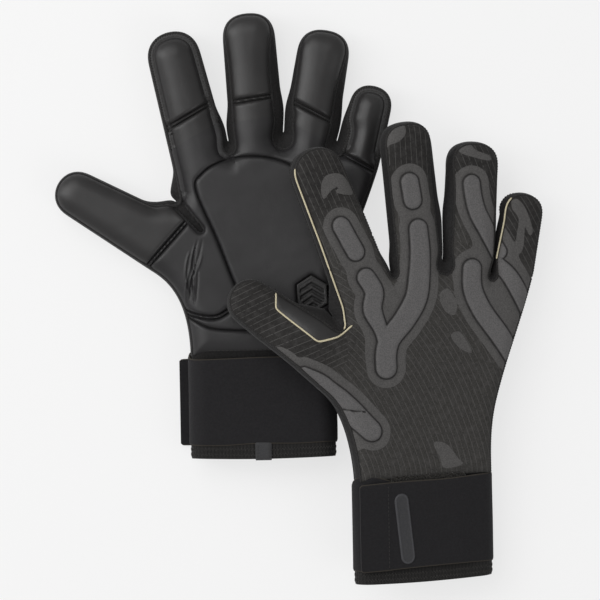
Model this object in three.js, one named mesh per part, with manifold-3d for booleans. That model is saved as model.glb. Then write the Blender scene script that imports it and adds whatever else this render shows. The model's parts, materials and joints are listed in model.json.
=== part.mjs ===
// A pair of goalkeeper gloves, laid down as they are sold: the left glove on its back with
// the palm up, the right glove palm down and leaning on it. Millimetres, +Z up.
//
// Each glove is cut and sewn as a sandwich: a back panel, a ring of gussets that stands on
// it, and latex palm pads on top of the gussets. The hand goes in the hollow between them.
// A glove is modelled in a frame of its own: +X towards the little finger, +Y towards the
// fingertips, +Z from the back of the hand to the palm, origin in the middle of the cuff's
// mouth. The hand's own pieces are placed from the wrist line, where the cuff ends, so a
// longer cuff carries the hand with it. The right glove is the same glove mirrored.

import * as THREE from 'three';
import { mergeVertices } from 'three/addons/utils/BufferGeometryUtils.js';
import Module from 'manifold-3d';

const wasm = await Module();
wasm.setup();

// ---- Clearances ----------------------------------------------------------------------

const GAP = 0.3; // between two pieces that touch
const NOTCH_GAP = 1.6; // slit of a flex notch, measured along the finger
const TIP_GAP = 0.9; // beside a fingertip, so that it can bend past the hand
const STRAP_TO_HAND = 1.6; // from the strap's far edge to the hand
const OVERCUT = 1; // how far a cutting prism passes the layer it cuts

// ---- Thicknesses of the sandwich -------------------------------------------------------

const BACK_THICKNESS = 4;
const GUSSET_HEIGHT = 13.4;
const GUSSET_THICKNESS = 4.5;
const LATEX_THICKNESS = 8;

// ---- Digits: length from the knuckle to the tip, width at the knuckle and at the tip,
// length of the pad beyond the flex notch, and the turn of the notch across the finger ----

const DIGITS = {
  thumb: { length: 117, width: 43, tipWidth: 29, tipLength: 79, notchTurn: -12 },
  index: { length: 102.4, width: 37, tipWidth: 33, tipLength: 54.4, notchTurn: 16 },
  middle: { length: 108.4, width: 34.6, tipWidth: 32.6, tipLength: 54.4, notchTurn: 4 },
  ring: { length: 98.4, width: 34.4, tipWidth: 32.4, tipLength: 52.4, notchTurn: -18 },
  little: { length: 83, width: 30, tipWidth: 26, tipLength: 49, notchTurn: -15 },
};
const DIGIT_NAMES = Object.keys(DIGITS);

// How each glove's digits lie: the knuckle's place from the wrist line, the lean towards the
// thumb side, and the bend at the flex notch, in degrees. Soft gloves never lie quite alike.
const LEFT_LIE = {
  thumb: { x: -24, y: 52, lean: 59.5, bend: 0 },
  index: { x: -29.2, y: 107, lean: 13.4, bend: 0 },
  middle: { x: 4.8, y: 109.6, lean: 3.8, bend: 0 },
  ring: { x: 30.4, y: 109.2, lean: -10.5, bend: 0 },
  little: { x: 57, y: 89.6, lean: -15, bend: 0 },
};
const RIGHT_LIE = {
  thumb: { x: -20, y: 49.5, lean: 49.5, bend: 14 },
  index: { x: -26.6, y: 113.7, lean: 18.2, bend: 5 },
  middle: { x: 9.4, y: 117.3, lean: 3.2, bend: 0 },
  ring: { x: 38.3, y: 112.4, lean: -6, bend: 0 },
  little: { x: 60.8, y: 95, lean: -14, bend: 0 },
};

// ---- Hand and cuff ---------------------------------------------------------------------

const WRIST_WIDTH = 91;
const WRIST_BULGE = 4; // the heel of the hand beside the wrist, on the little finger's side
const SLEEVE_THICKNESS = 2.6;
const HEM_LENGTH = 8.6;
const HEM_THICKNESS = 3.2;
const TAB_WIDTH = 10;
const TAB_THICKNESS = 1.4;

// ---- Strap -----------------------------------------------------------------------------

const STRAP_WIDTH = 55;
const STRAP_THICKNESS = 2;
const STRAP_START = 9.4; // from the mouth to the strap's near edge
// How far the flap's end passes the thumb side of the wrist on each glove.
const LEFT_OVERHANG = 8;
const RIGHT_OVERHANG = 1;
const PATCH_THICKNESS = 1;
const LOOP_LENGTH = 62;
const HOOK_LENGTH = 30;
const PATCH_MARGIN = 3; // from the strap's long edges to the patches
const BADGE_LENGTH = 45;
const BADGE_WIDTH = 10;
const BADGE_THICKNESS = 0.8;
const BADGE_FROM_THUMB_SIDE = 38;
const LOOPS_FROM_THUMB_SIDE = 10;
const FLAP_ROOT_INSET = 1; // the flap is sewn just inside the edge of the wrist
const cuffLength = STRAP_START + STRAP_WIDTH + STRAP_TO_HAND; // from the mouth to the hand

// ---- Insets ----------------------------------------------------------------------------

// The raised rubber insert near the heel of the hand, a six-sided plate.
const GRIP_PLACE = { x: 32, y: 41 };
const GRIP_WIDTH = 20;
const GRIP_HEIGHT = 25;
const GRIP_DEPTH = 3;
// The latex wrap is let into the back of the thumb, between its notch and its tip.
const WRAP_DEPTH = 1.2;
const WRAP_FROM_NOTCH = 14;
const WRAP_FROM_TIP = 16;
const WRAP_SLANT = 6; // how far its corners are cut off

// ---- How the right glove lies on the left one --------------------------------------------

const LEFT_YAW = 1.1;
const RIGHT_YAW = 3.6;
const RIGHT_PLACE = { x: 99, y: -76.5 };
const PROP_REACH = 93.75; // from the line it rolls about to where the left palm props it up
const ROLL_LINE_TURN = 11.6; // the line through the cuff's edge and the little finger's edge

const CURVE_STEPS = 4; // points for each span of a curved outline
const ARC_STEPS = 10; // points round a fingertip
const SIDE_STEPS = 8; // points round each side of the cuff
const BADGE_STEPS = 6; // points round each end of the badge

const UP = new THREE.Vector3(0, 0, 1);

// Heights of the layers in the glove's frame.
const backTop = BACK_THICKNESS;
const gussetLow = backTop + GAP;
const gussetHigh = gussetLow + GUSSET_HEIGHT;
const palmLow = gussetHigh + GAP;
const palmHigh = palmLow + LATEX_THICKNESS;

// ---- Solids ------------------------------------------------------------------------------

// Turns a closed three.js geometry into a solid that can be cut and joined.
function solid(geometry) {
  geometry.deleteAttribute('normal');
  geometry.deleteAttribute('uv');
  const merged = mergeVertices(geometry, 1e-4);
  return new wasm.Manifold(new wasm.Mesh({
    numProp: 3,
    vertProperties: new Float32Array(merged.attributes.position.array),
    triVerts: new Uint32Array(merged.index.array),
  }));
}

// A prism that stands on an outline in the XY plane, from one height to another.
function prism(outline, low, high) {
  const geometry = new THREE.ExtrudeGeometry(new THREE.Shape(outline), {
    depth: high - low,
    bevelEnabled: false,
  });
  return solid(geometry.translate(0, 0, low));
}

// A prism that runs along +Y, from an outline given as X and Z.
function bar(outline, start, end) {
  const geometry = new THREE.ExtrudeGeometry(new THREE.Shape(outline), {
    depth: end - start,
    bevelEnabled: false,
  });
  geometry.rotateX(Math.PI / 2);
  return solid(geometry.translate(0, end, 0));
}

function point(x, y) {
  return new THREE.Vector2(x, y);
}

function rectangle(x0, y0, x1, y1) {
  return [point(x0, y0), point(x1, y0), point(x1, y1), point(x0, y1)];
}

// A closed smooth outline through a few points.
function smoothLoop(points) {
  const curve = new THREE.SplineCurve([...points, points[0]]);
  return curve.getPoints(points.length * CURVE_STEPS).slice(0, -1);
}

// The same outline moved outwards by a distance, or inwards by a negative one.
function grown(outline, distance) {
  const outwards = THREE.ShapeUtils.isClockWise(outline) ? -1 : 1;
  return outline.map((here, i) => {
    const before = outline[(i + outline.length - 1) % outline.length];
    const after = outline[(i + 1) % outline.length];
    const along = after.clone().sub(before).normalize();
    return point(here.x + along.y * distance * outwards, here.y - along.x * distance * outwards);
  });
}

// ---- Outlines of the hand ------------------------------------------------------------------

// Takes a point given across and along a digit into the glove's frame.
function onDigit(lie, across, along) {
  const turned = point(across, along).rotateAround(point(0, 0), THREE.MathUtils.degToRad(lie.lean));
  return turned.add(point(lie.x, lie.y));
}

// A digit seen from the palm: straight sides that draw in a little, and a round tip.
function digitOutline(digit, lie, growth = 0) {
  const base = digit.width / 2 + growth;
  const radius = digit.tipWidth / 2 + growth;
  const centre = digit.length - digit.tipWidth / 2;
  const outline = [onDigit(lie, base, 0)];
  for (let i = 0; i <= ARC_STEPS; i += 1) {
    const angle = (Math.PI * i) / ARC_STEPS;
    outline.push(onDigit(lie, radius * Math.cos(angle), centre + radius * Math.sin(angle)));
  }
  outline.push(onDigit(lie, -base, 0));
  return outline;
}

// The palm between the cuff and the knuckles, inside of which every digit starts. Each side
// is a curve from the wrist, by the heel of the hand, to the root of the outer digit.
const THUMB_ROOT_SHARE = 0.36; // of the thumb's length, where the palm's outline meets it
function palmOutline(lies, growth = 0) {
  const half = WRIST_WIDTH / 2 + growth;
  const thumb = DIGITS.thumb;
  const thumbRootAt = thumb.length * THUMB_ROOT_SHARE;
  const littleEdge = DIGITS.little.width / 2 + growth;
  const thumbRoot = onDigit(lies.thumb, thumb.width / 2 - 1 + growth * 0.9, thumbRootAt);
  const thumbHeel = onDigit(lies.thumb, -thumb.width / 2 + 1 - growth * 0.9, thumbRootAt);
  const littleHeel = onDigit(lies.little, littleEdge - 0.5, 12);
  const thumbSide = new THREE.SplineCurve([
    thumbHeel, point(-half - 7.5, 32), point(-half, 14), point(-half, 0),
  ]);
  const littleSide = new THREE.SplineCurve([
    point(half, 0), point(half + WRIST_BULGE, 34), point(half + 12.5, 64), littleHeel,
  ]);
  return [
    ...thumbSide.getPoints(3 * CURVE_STEPS),
    ...littleSide.getPoints(3 * CURVE_STEPS),
    onDigit(lies.little, 0, 20 + growth),
    onDigit(lies.ring, 0, 8 + growth),
    onDigit(lies.middle, 0, 8 + growth),
    onDigit(lies.index, 0, 8 + growth),
    onDigit(lies.index, -DIGITS.index.width / 2 + 1 - growth, 4),
    thumbRoot,
  ];
}

// The whole hand between two heights: palm and digits in one.
function handPrism(lies, low, high, growth = 0) {
  let whole = prism(palmOutline(lies, growth), low, high);
  for (const name of DIGIT_NAMES) {
    whole = whole.add(prism(digitOutline(DIGITS[name], lies[name], growth), low, high));
  }
  return whole;
}

// ---- Flex notches --------------------------------------------------------------------------

// Everything on the tip's side of a digit's flex notch. The notch is cut askew, as the
// finger's crease is, and `back` moves the cut towards the hand.
function beyondNotch(digit, lie, growth, back) {
  const half = digit.width / 2 + growth;
  const start = digit.length - digit.tipLength - back;
  const skew = Math.tan(THREE.MathUtils.degToRad(digit.notchTurn));
  const reach = digit.length + digit.width;
  const outline = [
    onDigit(lie, -half, start - half * skew), onDigit(lie, half, start + half * skew),
    onDigit(lie, half, reach), onDigit(lie, -half, reach),
  ];
  return prism(outline, -1, palmHigh + 1);
}

// The room that all five fingertips take beyond their notches, with a gap round them.
function tipRoom(lies) {
  let room = null;
  for (const name of DIGIT_NAMES) {
    const outline = digitOutline(DIGITS[name], lies[name], TIP_GAP);
    const zone = beyondNotch(DIGITS[name], lies[name], TIP_GAP + 1, NOTCH_GAP / 2);
    const one = prism(outline, -0.5, palmHigh + 0.5).intersect(zone);
    room = room ? room.add(one) : one;
  }
  return room;
}

// ---- Materials -----------------------------------------------------------------------------

function finish(color, roughness) {
  return new THREE.MeshStandardMaterial({ color, roughness, metalness: 0 });
}

const LATEX = finish(0x363536, 0.45);
const KNIT = finish(0x3a3938, 0.9);
const GUSSET = finish(0x2c2b2c, 0.7);
const ELASTIC = finish(0x252426, 0.85);
const RIBBING = finish(0x333232, 0.9);
const PATCH = finish(0x1c1b1c, 0.95);
const RUBBER = finish(0x2e2d2e, 0.4);

// Puts a finished solid into a group under its name.
function addPiece(group, name, piece, material) {
  const { vertProperties, triVerts } = piece.getMesh();
  const geometry = new THREE.BufferGeometry();
  geometry.setAttribute('position', new THREE.BufferAttribute(vertProperties, 3));
  geometry.setIndex(new THREE.BufferAttribute(triVerts, 1));
  geometry.computeVertexNormals();
  const mesh = new THREE.Mesh(geometry, material);
  mesh.name = name;
  group.add(mesh);
}

// ---- Palm pads -----------------------------------------------------------------------------

// The padded middle of the palm, below the fingers.
function centrePadOutline() {
  return smoothLoop([
    point(-35, 105), point(-26, 115), point(0, 118), point(26, 116), point(45, 100),
    point(48, 72), point(47, 42), point(40, 24), point(22, 18), point(0, 21),
    point(-13, 43), point(-28, 81),
  ]);
}

// The pad over the ball of the thumb, from the thumb's notch to the middle of the palm.
function thumbBallOutline(lies) {
  const { length, tipLength, width } = DIGITS.thumb;
  const crease = length - tipLength + width;
  return [
    onDigit(lies.thumb, -width, crease), onDigit(lies.thumb, width * 0.35, crease),
    onDigit(lies.thumb, width * 0.35, 12), point(-10, 62), point(-8, 38), point(-16, 29),
    point(-30, 26), point(-46, 30), point(-58, 38), onDigit(lies.thumb, -width, 20),
  ];
}

function heelOutline() {
  const beside = WRIST_WIDTH - 11; // outside the hand at the height of the heel
  return [
    point(-beside, -OVERCUT), point(beside, -OVERCUT), point(beside, 22), point(44, 26),
    point(28, 38), point(-20, 40), point(-beside, 50),
  ];
}

// A six-sided outline that stands on a corner.
function gripOutline(growth = 0) {
  const half = GRIP_WIDTH / 2 + growth;
  const tall = GRIP_HEIGHT / 2 + growth;
  const shoulder = GRIP_HEIGHT / 4 + growth * 0.5;
  const { x, y } = GRIP_PLACE;
  return [
    point(x, y - tall), point(x + half, y - shoulder), point(x + half, y + shoulder),
    point(x, y + tall), point(x - half, y + shoulder), point(x - half, y - shoulder),
  ];
}

function addPalmPads(group, side, lies) {
  const layer = handPrism(lies, palmLow, palmHigh).subtract(tipRoom(lies));
  const cut = (outline) => prism(outline, palmLow - 1, palmHigh + 1);
  const centre = centrePadOutline();
  const ball = thumbBallOutline(lies);
  const centreRoom = cut(grown(centre, GAP));
  const ballRoom = cut(grown(ball, GAP));
  const heelRoom = cut(grown(heelOutline(), GAP));
  const pocket = prism(gripOutline(GAP), palmHigh - GRIP_DEPTH - GAP, palmHigh + 1);
  const grip = prism(gripOutline(), palmHigh - GRIP_DEPTH, palmHigh);
  const centrePad = layer.intersect(cut(centre)).subtract(pocket);
  const ballPad = layer.intersect(cut(ball)).subtract(centreRoom);
  const heelPad = layer.intersect(cut(heelOutline())).subtract(centreRoom).subtract(ballRoom);
  const rest = layer.subtract(centreRoom).subtract(ballRoom).subtract(heelRoom);
  addPiece(group, `${side}_finger_root_pad`, rest, LATEX);
  addPiece(group, `${side}_palm_centre_pad`, centrePad, LATEX);
  addPiece(group, `${side}_thumb_ball_pad`, ballPad, LATEX);
  addPiece(group, `${side}_heel_panel`, heelPad, LATEX);
  addPiece(group, `${side}_heel_grip`, grip, RUBBER);
}

// ---- Back and gussets ----------------------------------------------------------------------

function addBack(group, side, lies) {
  const layer = handPrism(lies, 0, backTop).subtract(tipRoom(lies));
  addPiece(group, `${side}_backhand_panel`, layer, KNIT);
}

// Six gussets join the back to the palm: two along the sides of the hand, and four webs,
// from each digit to the next.
function addGussets(group, side, lies) {
  const outer = handPrism(lies, gussetLow, gussetHigh);
  const low = gussetLow - OVERCUT;
  const high = gussetHigh + OVERCUT;
  const hollow = handPrism(lies, low, high, -GUSSET_THICKNESS);
  const inner = WRIST_WIDTH / 2 - GUSSET_THICKNESS;
  const mouth = prism(rectangle(-inner, -10, inner, 10), low, high);
  const ring = outer.subtract(hollow).subtract(mouth).subtract(tipRoom(lies));
  const far = (name, reach) => onDigit(lies[name], 0, DIGITS[name].length + reach);
  const root = (name) => onDigit(lies[name], 0, 0);
  const between = (a, b) => prism([root(a), far(a, 30), far(b, 30), root(b)], low, high);
  const beside = 2 * WRIST_WIDTH; // well outside the hand
  const cuff = point(0, -5);
  const thumbSide = [root('thumb'), far('thumb', 30), point(-beside, -5), cuff];
  const littleSide = [cuff, point(beside, -5), far('little', 60), root('little')];
  addPiece(group, `${side}_thumb_side_gusset`, ring.intersect(prism(thumbSide, low, high)), GUSSET);
  addPiece(group, `${side}_little_side_gusset`, ring.intersect(prism(littleSide, low, high)), GUSSET);
  for (const [a, b] of [['thumb', 'index'], ['index', 'middle'], ['middle', 'ring'], ['ring', 'little']]) {
    addPiece(group, `${side}_${a}_${b}_web`, ring.intersect(between(a, b)), GUSSET);
  }
}

// ---- Fingertips ----------------------------------------------------------------------------

// The wrap covers the index side of the thumb's back, from the notch to near the tip.
function thumbWrapOutline(digit, lie, growth = 0) {
  const start = digit.length - digit.tipLength + WRAP_FROM_NOTCH - growth;
  const end = digit.length - WRAP_FROM_TIP + growth;
  const inner = -3 - growth;
  const outer = digit.tipWidth / 2 - 1.5 + growth;
  return [
    onDigit(lie, inner, start + WRAP_SLANT), onDigit(lie, outer, start),
    onDigit(lie, outer, end - 10), onDigit(lie, inner + WRAP_SLANT, end),
    onDigit(lie, inner, end - 8),
  ];
}

// A group that bends at the notch: its children turn about the seam at the palm surface.
function bentAtNotch(digit, lie) {
  const seam = onDigit(lie, 0, digit.length - digit.tipLength);
  const lean = THREE.MathUtils.degToRad(lie.lean);
  const seamAxis = new THREE.Vector3(Math.cos(lean), Math.sin(lean), 0);
  const pivot = new THREE.Group();
  pivot.position.set(seam.x, seam.y, palmHigh);
  pivot.quaternion.setFromAxisAngle(seamAxis, THREE.MathUtils.degToRad(lie.bend));
  const content = new THREE.Group();
  content.position.set(-seam.x, -seam.y, -palmHigh);
  pivot.add(content);
  return { pivot, content };
}

function addFingertip(group, side, name, lie) {
  const digit = DIGITS[name];
  const { pivot, content } = bentAtNotch(digit, lie);
  const zone = beyondNotch(digit, lie, 1, -NOTCH_GAP / 2);
  const outline = digitOutline(digit, lie);
  const hollow = prism(digitOutline(digit, lie, -GUSSET_THICKNESS), backTop, gussetHigh + 1);
  let shell = prism(outline, 0, gussetHigh).subtract(hollow).intersect(zone);
  if (name === 'thumb') {
    shell = shell.subtract(prism(thumbWrapOutline(digit, lie, GAP), -1, WRAP_DEPTH + GAP));
    const wrap = prism(thumbWrapOutline(digit, lie), 0, WRAP_DEPTH);
    addPiece(content, `${side}_thumb_wrap`, wrap, LATEX);
  }
  addPiece(content, `${side}_${name}_shell`, shell, KNIT);
  const pad = prism(outline, palmLow, palmHigh).intersect(zone);
  addPiece(content, `${side}_${name}_pad`, pad, LATEX);
  group.add(pivot);
}

// ---- Cuff ----------------------------------------------------------------------------------

// The closed strap stacks up as flap, hook patch, loop patch, sleeve and strap.
const flapTop = STRAP_THICKNESS;
const hookHigh = flapTop + PATCH_THICKNESS;
const loopLow = hookHigh + GAP;
const sleeveLow = loopLow + PATCH_THICKNESS + GAP;
const sleeveHigh = palmHigh - STRAP_THICKNESS - GAP;
const strapLow = sleeveHigh + GAP;
const halfWrist = WRIST_WIDTH / 2;
const strapEdge = halfWrist + GAP;

// A flattened tube seen from its mouth, as X and Z.
function flatTube(half, low, high) {
  const radius = (high - low) / 2;
  const middle = (low + high) / 2;
  const outline = [];
  for (let i = 0; i <= SIDE_STEPS; i += 1) {
    const angle = Math.PI / 2 - (Math.PI * i) / SIDE_STEPS;
    outline.push(point(half - radius + radius * Math.cos(angle), middle + radius * Math.sin(angle)));
  }
  for (let i = 0; i <= SIDE_STEPS; i += 1) {
    const angle = -Math.PI / 2 - (Math.PI * i) / SIDE_STEPS;
    outline.push(point(-half + radius + radius * Math.cos(angle), middle + radius * Math.sin(angle)));
  }
  return outline;
}

function tube(half, low, high, wall, start, end) {
  const outside = bar(flatTube(half, low, high), start, end);
  return outside.subtract(bar(flatTube(half - wall, low + wall, high - wall), start - 1, end + 1));
}

function addCuff(group, side) {
  const sleeve = tube(halfWrist, sleeveLow, sleeveHigh, SLEEVE_THICKNESS, HEM_LENGTH + GAP,
    cuffLength - GAP);
  const hem = tube(halfWrist, sleeveLow, sleeveHigh, HEM_THICKNESS, 0, HEM_LENGTH);
  const tab = bar(rectangle(-TAB_WIDTH / 2, strapLow, TAB_WIDTH / 2, strapLow + TAB_THICKNESS),
    0, HEM_LENGTH - GAP);
  addPiece(group, `${side}_cuff_sleeve`, sleeve, RIBBING);
  addPiece(group, `${side}_cuff_hem`, hem, RIBBING);
  addPiece(group, `${side}_pull_tab`, tab, ELASTIC);
}

// ---- Strap ---------------------------------------------------------------------------------

const strapEnd = STRAP_START + STRAP_WIDTH;
const flapRoot = halfWrist - FLAP_ROOT_INSET;

// The strap crosses the palm side and turns down the little-finger side of the wrist.
function addStrap(group, side) {
  const outer = strapEdge + STRAP_THICKNESS;
  const band = rectangle(-halfWrist + 4, strapLow, outer, strapLow + STRAP_THICKNESS);
  const turn = rectangle(strapEdge, flapTop + GAP, outer, strapLow + 0.5);
  const strap = bar(band, STRAP_START, strapEnd).add(bar(turn, STRAP_START, strapEnd));
  addPiece(group, `${side}_strap`, strap, ELASTIC);
}

// The badge is a plain pill let into the outside of the flap.
function badgeOutline(growth = 0) {
  const radius = BADGE_WIDTH / 2 + growth;
  const straight = (BADGE_LENGTH - BADGE_WIDTH) / 2;
  const x = -halfWrist + BADGE_FROM_THUMB_SIDE;
  const y = STRAP_START + STRAP_WIDTH / 2;
  const outline = [];
  for (let i = 0; i <= BADGE_STEPS; i += 1) {
    const angle = (Math.PI * i) / BADGE_STEPS;
    outline.push(point(x + radius * Math.cos(angle), y + straight + radius * Math.sin(angle)));
  }
  for (let i = 0; i <= BADGE_STEPS; i += 1) {
    const angle = Math.PI + (Math.PI * i) / BADGE_STEPS;
    outline.push(point(x + radius * Math.cos(angle), y - straight + radius * Math.sin(angle)));
  }
  return outline;
}

function addFlap(group, side, overhang) {
  const flapEnd = -halfWrist - overhang;
  const recess = prism(badgeOutline(GAP), -OVERCUT, BADGE_THICKNESS + GAP);
  const band = bar(rectangle(flapEnd, 0, flapRoot, flapTop), STRAP_START, strapEnd);
  const near = STRAP_START + PATCH_MARGIN;
  const farEdge = strapEnd - PATCH_MARGIN;
  const patchStart = -halfWrist + LOOPS_FROM_THUMB_SIDE;
  const hook = bar(rectangle(patchStart, flapTop - 0.5, patchStart + HOOK_LENGTH, hookHigh),
    near, farEdge);
  const loop = bar(rectangle(patchStart, loopLow, patchStart + LOOP_LENGTH,
    loopLow + PATCH_THICKNESS), near, farEdge + PATCH_MARGIN);
  addPiece(group, `${side}_strap_flap`, band.add(hook).subtract(recess), ELASTIC);
  addPiece(group, `${side}_strap_badge`, prism(badgeOutline(), 0, BADGE_THICKNESS), RUBBER);
  addPiece(group, `${side}_loop_patch`, loop, PATCH);
}

// ---- One glove -----------------------------------------------------------------------------

function glove(side, lies, overhang) {
  const group = new THREE.Group();
  const hand = new THREE.Group();
  hand.position.y = cuffLength;
  addBack(hand, side, lies);
  addGussets(hand, side, lies);
  addPalmPads(hand, side, lies);
  for (const name of DIGIT_NAMES) {
    addFingertip(hand, side, name, lies[name]);
  }
  group.add(hand);
  addCuff(group, side);
  addStrap(group, side);
  addFlap(group, side, overhang);
  return group;
}

// ---- The pair ------------------------------------------------------------------------------

// Rolls a glove about a line on the floor, along its little-finger side.
function rolled(content, degrees) {
  const turn = THREE.MathUtils.degToRad(-ROLL_LINE_TURN);
  const line = new THREE.Vector3(0, 1, 0).applyAxisAngle(UP, turn);
  const group = new THREE.Group();
  group.quaternion.setFromAxisAngle(line, THREE.MathUtils.degToRad(degrees));
  group.position.set(strapEdge, 0, 0);
  content.position.set(-strapEdge, 0, content.position.z);
  group.add(content);
  return group;
}

// Lowers or lifts a group until its lowest point is on the floor.
function seatOnFloor(group) {
  group.updateMatrixWorld(true);
  const box = new THREE.Box3().setFromObject(group, true);
  group.position.z -= box.min.z;
}

const leftGlove = glove('left', LEFT_LIE, LEFT_OVERHANG);
leftGlove.rotation.z = THREE.MathUtils.degToRad(LEFT_YAW);

const mirrored = glove('right', RIGHT_LIE, RIGHT_OVERHANG);
mirrored.scale.z = -1;
mirrored.position.z = palmHigh;
const rightGlove = new THREE.Group();
// The thumb side is propped up by the left palm, so a thicker pair leans more.
const rightRoll = THREE.MathUtils.radToDeg(Math.atan2(palmHigh, PROP_REACH));
rightGlove.add(rolled(mirrored, rightRoll));
rightGlove.rotation.z = THREE.MathUtils.degToRad(RIGHT_YAW);
rightGlove.position.set(RIGHT_PLACE.x, RIGHT_PLACE.y, 0);
seatOnFloor(rightGlove);

// The pair's origin is on the floor, under the middle of its box.
const pair = new THREE.Group();
pair.name = 'goalkeeper_gloves';
pair.add(leftGlove, rightGlove);
pair.updateMatrixWorld(true);
const bounds = new THREE.Box3().setFromObject(pair, true);
const middle = bounds.getCenter(new THREE.Vector3());
pair.position.set(-middle.x, -middle.y, -bounds.min.z);

export default pair;
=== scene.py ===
# %% [markdown]
# # A pair of goalkeeper gloves
# The left glove lies on its back with the latex palm up, and the right glove lies palm down
# and leans on it. Each glove is a sandwich: a foam-backed knit over the back of the hand,
# gussets round the sides, and puffy latex over the palm. A fixed frame gives the size, the
# place and the moving parts of every piece, and this script gives each one its surface. It
# draws the grips, badges and cuffs up to 9 mm off the frame's places, by the values
# GRIP_SHIFT, BADGE_DOWN, BADGE_ASIDE and ASKEW.

# %% Load the frame
import json
import math
import bpy
import numpy as np
from mathutils import Matrix, Vector
from mathutils.geometry import delaunay_2d_cdt

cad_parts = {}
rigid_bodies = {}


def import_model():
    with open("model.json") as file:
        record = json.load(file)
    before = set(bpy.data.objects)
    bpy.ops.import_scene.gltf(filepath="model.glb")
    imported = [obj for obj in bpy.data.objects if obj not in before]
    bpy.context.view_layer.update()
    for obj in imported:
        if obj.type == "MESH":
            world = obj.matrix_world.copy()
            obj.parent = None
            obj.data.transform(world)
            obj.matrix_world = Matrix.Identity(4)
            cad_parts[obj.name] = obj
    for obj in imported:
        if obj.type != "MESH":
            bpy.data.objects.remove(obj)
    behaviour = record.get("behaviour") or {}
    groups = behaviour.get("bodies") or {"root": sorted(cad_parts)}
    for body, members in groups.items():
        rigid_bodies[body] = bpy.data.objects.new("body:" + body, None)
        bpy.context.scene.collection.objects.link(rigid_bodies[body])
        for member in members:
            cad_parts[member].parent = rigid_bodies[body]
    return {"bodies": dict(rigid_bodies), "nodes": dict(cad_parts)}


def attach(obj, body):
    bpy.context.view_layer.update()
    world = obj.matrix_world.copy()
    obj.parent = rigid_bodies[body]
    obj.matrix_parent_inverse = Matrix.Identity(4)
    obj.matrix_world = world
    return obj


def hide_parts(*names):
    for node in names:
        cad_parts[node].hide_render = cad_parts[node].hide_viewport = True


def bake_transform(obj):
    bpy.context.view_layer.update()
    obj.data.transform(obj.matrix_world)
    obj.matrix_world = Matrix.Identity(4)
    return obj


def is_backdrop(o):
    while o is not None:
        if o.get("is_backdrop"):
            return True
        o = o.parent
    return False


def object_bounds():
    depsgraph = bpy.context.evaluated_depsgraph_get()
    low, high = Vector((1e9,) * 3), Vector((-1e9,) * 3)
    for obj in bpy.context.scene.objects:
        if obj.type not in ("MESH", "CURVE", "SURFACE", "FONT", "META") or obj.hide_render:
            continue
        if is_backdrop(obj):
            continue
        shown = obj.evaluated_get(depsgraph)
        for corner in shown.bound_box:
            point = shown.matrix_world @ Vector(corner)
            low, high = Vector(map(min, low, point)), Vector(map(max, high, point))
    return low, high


for thing in list(bpy.data.objects):
    bpy.data.objects.remove(thing)
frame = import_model()
cad_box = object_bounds()
print("the frame's box, in metres:", [tuple(round(c, 4) for c in corner) for corner in cad_box])

# %% [markdown]
# ## A frame for each glove
# A glove is easiest to cut flat, as on the pattern table: x towards the little finger, y
# towards the fingertips, z from the back of the hand to the palm, in millimetres, with the
# origin in the middle of the cuff's mouth. The loop patch on the cuff is a plain thin plate,
# so its three edges give those directions, and the right glove comes out as a mirrored left
# one. Everything is then made once, for both gloves.

# %% Read a glove's own axes from its flat patch
MM = 0.001


def node_points(node):
    """The corners of a frame piece, in metres."""
    mesh = frame["nodes"][node].data
    flat = np.empty(3 * len(mesh.vertices))
    mesh.vertices.foreach_get("co", flat)
    return flat.reshape(-1, 3)


def middle(node):
    points = node_points(node)
    return (points.min(0) + points.max(0)) / 2


def plate_edges(node):
    """The unit directions of a thin plate's three edges, from the shortest to the longest."""
    points = np.unique(node_points(node).round(6), axis=0)
    corner = points[0]
    spans = sorted((points[1:] - corner).tolist(), key=lambda v: math.hypot(*v))
    axes = [np.array(spans[0])]
    for span in map(np.array, spans[1:]):
        if len(axes) < 3 and all(abs(span @ a) < 0.02 * math.hypot(*span) * math.hypot(*a) for a in axes):
            axes.append(span)
    return [a / math.hypot(*a) for a in axes]


class Glove:
    """One glove's own frame: moves points from its flat pattern, in mm, into the world."""

    def __init__(self, side):
        self.side = side
        z, y, x = plate_edges(f"{side}_loop_patch")
        x = x * np.sign(x @ (middle(f"{side}_little_pad") - middle(f"{side}_index_pad")))
        y = y * np.sign(y @ (middle(f"{side}_palm_centre_pad") - middle(f"{side}_cuff_hem")))
        z = z * np.sign(z @ (middle(f"{side}_palm_centre_pad") - middle(f"{side}_backhand_panel")))
        axes = np.array([x, y, z])
        hem = node_points(f"{side}_cuff_hem") @ axes.T
        back = node_points(f"{side}_backhand_panel") @ axes.T
        low = np.array([(hem[:, 0].min() + hem[:, 0].max()) / 2, hem[:, 1].min(), back[:, 2].min()])
        self.axes = axes
        self.origin = low @ axes
        self.mirrored = np.linalg.det(axes) < 0
        self.pieces = {}
        self.on_digit = set()
        self.strips = {}

    def local(self, points):
        """From metres in the world to millimetres on the pattern."""
        return (np.asarray(points) - self.origin) @ self.axes.T / MM

    def world(self, points):
        return np.asarray(points) * MM @ self.axes + self.origin

    def extent(self, node):
        """The lowest and highest corner of a frame piece, on the pattern."""
        points = self.local(node_points(f"{self.side}_{node}"))
        return points.min(0), points.max(0)


GLOVES = {side: Glove(side) for side in ("left", "right")}
for side, glove in GLOVES.items():
    print(side, "glove: mouth of the cuff at", glove.origin.round(4), "mirrored", glove.mirrored)

# %% [markdown]
# ## The middle line of each finger
# Every fingertip pad in the frame is a flat plate with two straight sides and a round tip.
# Its outline tells where the finger's middle line runs, how wide it is, where the flex notch
# crosses it, and how far the finger is bent there. Fingers that are bent in the frame are
# laid flat on the pattern first, and bent again when they are placed.

# %% Find the fingers
DIGITS = ("thumb", "index", "middle", "ring", "little")


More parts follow.
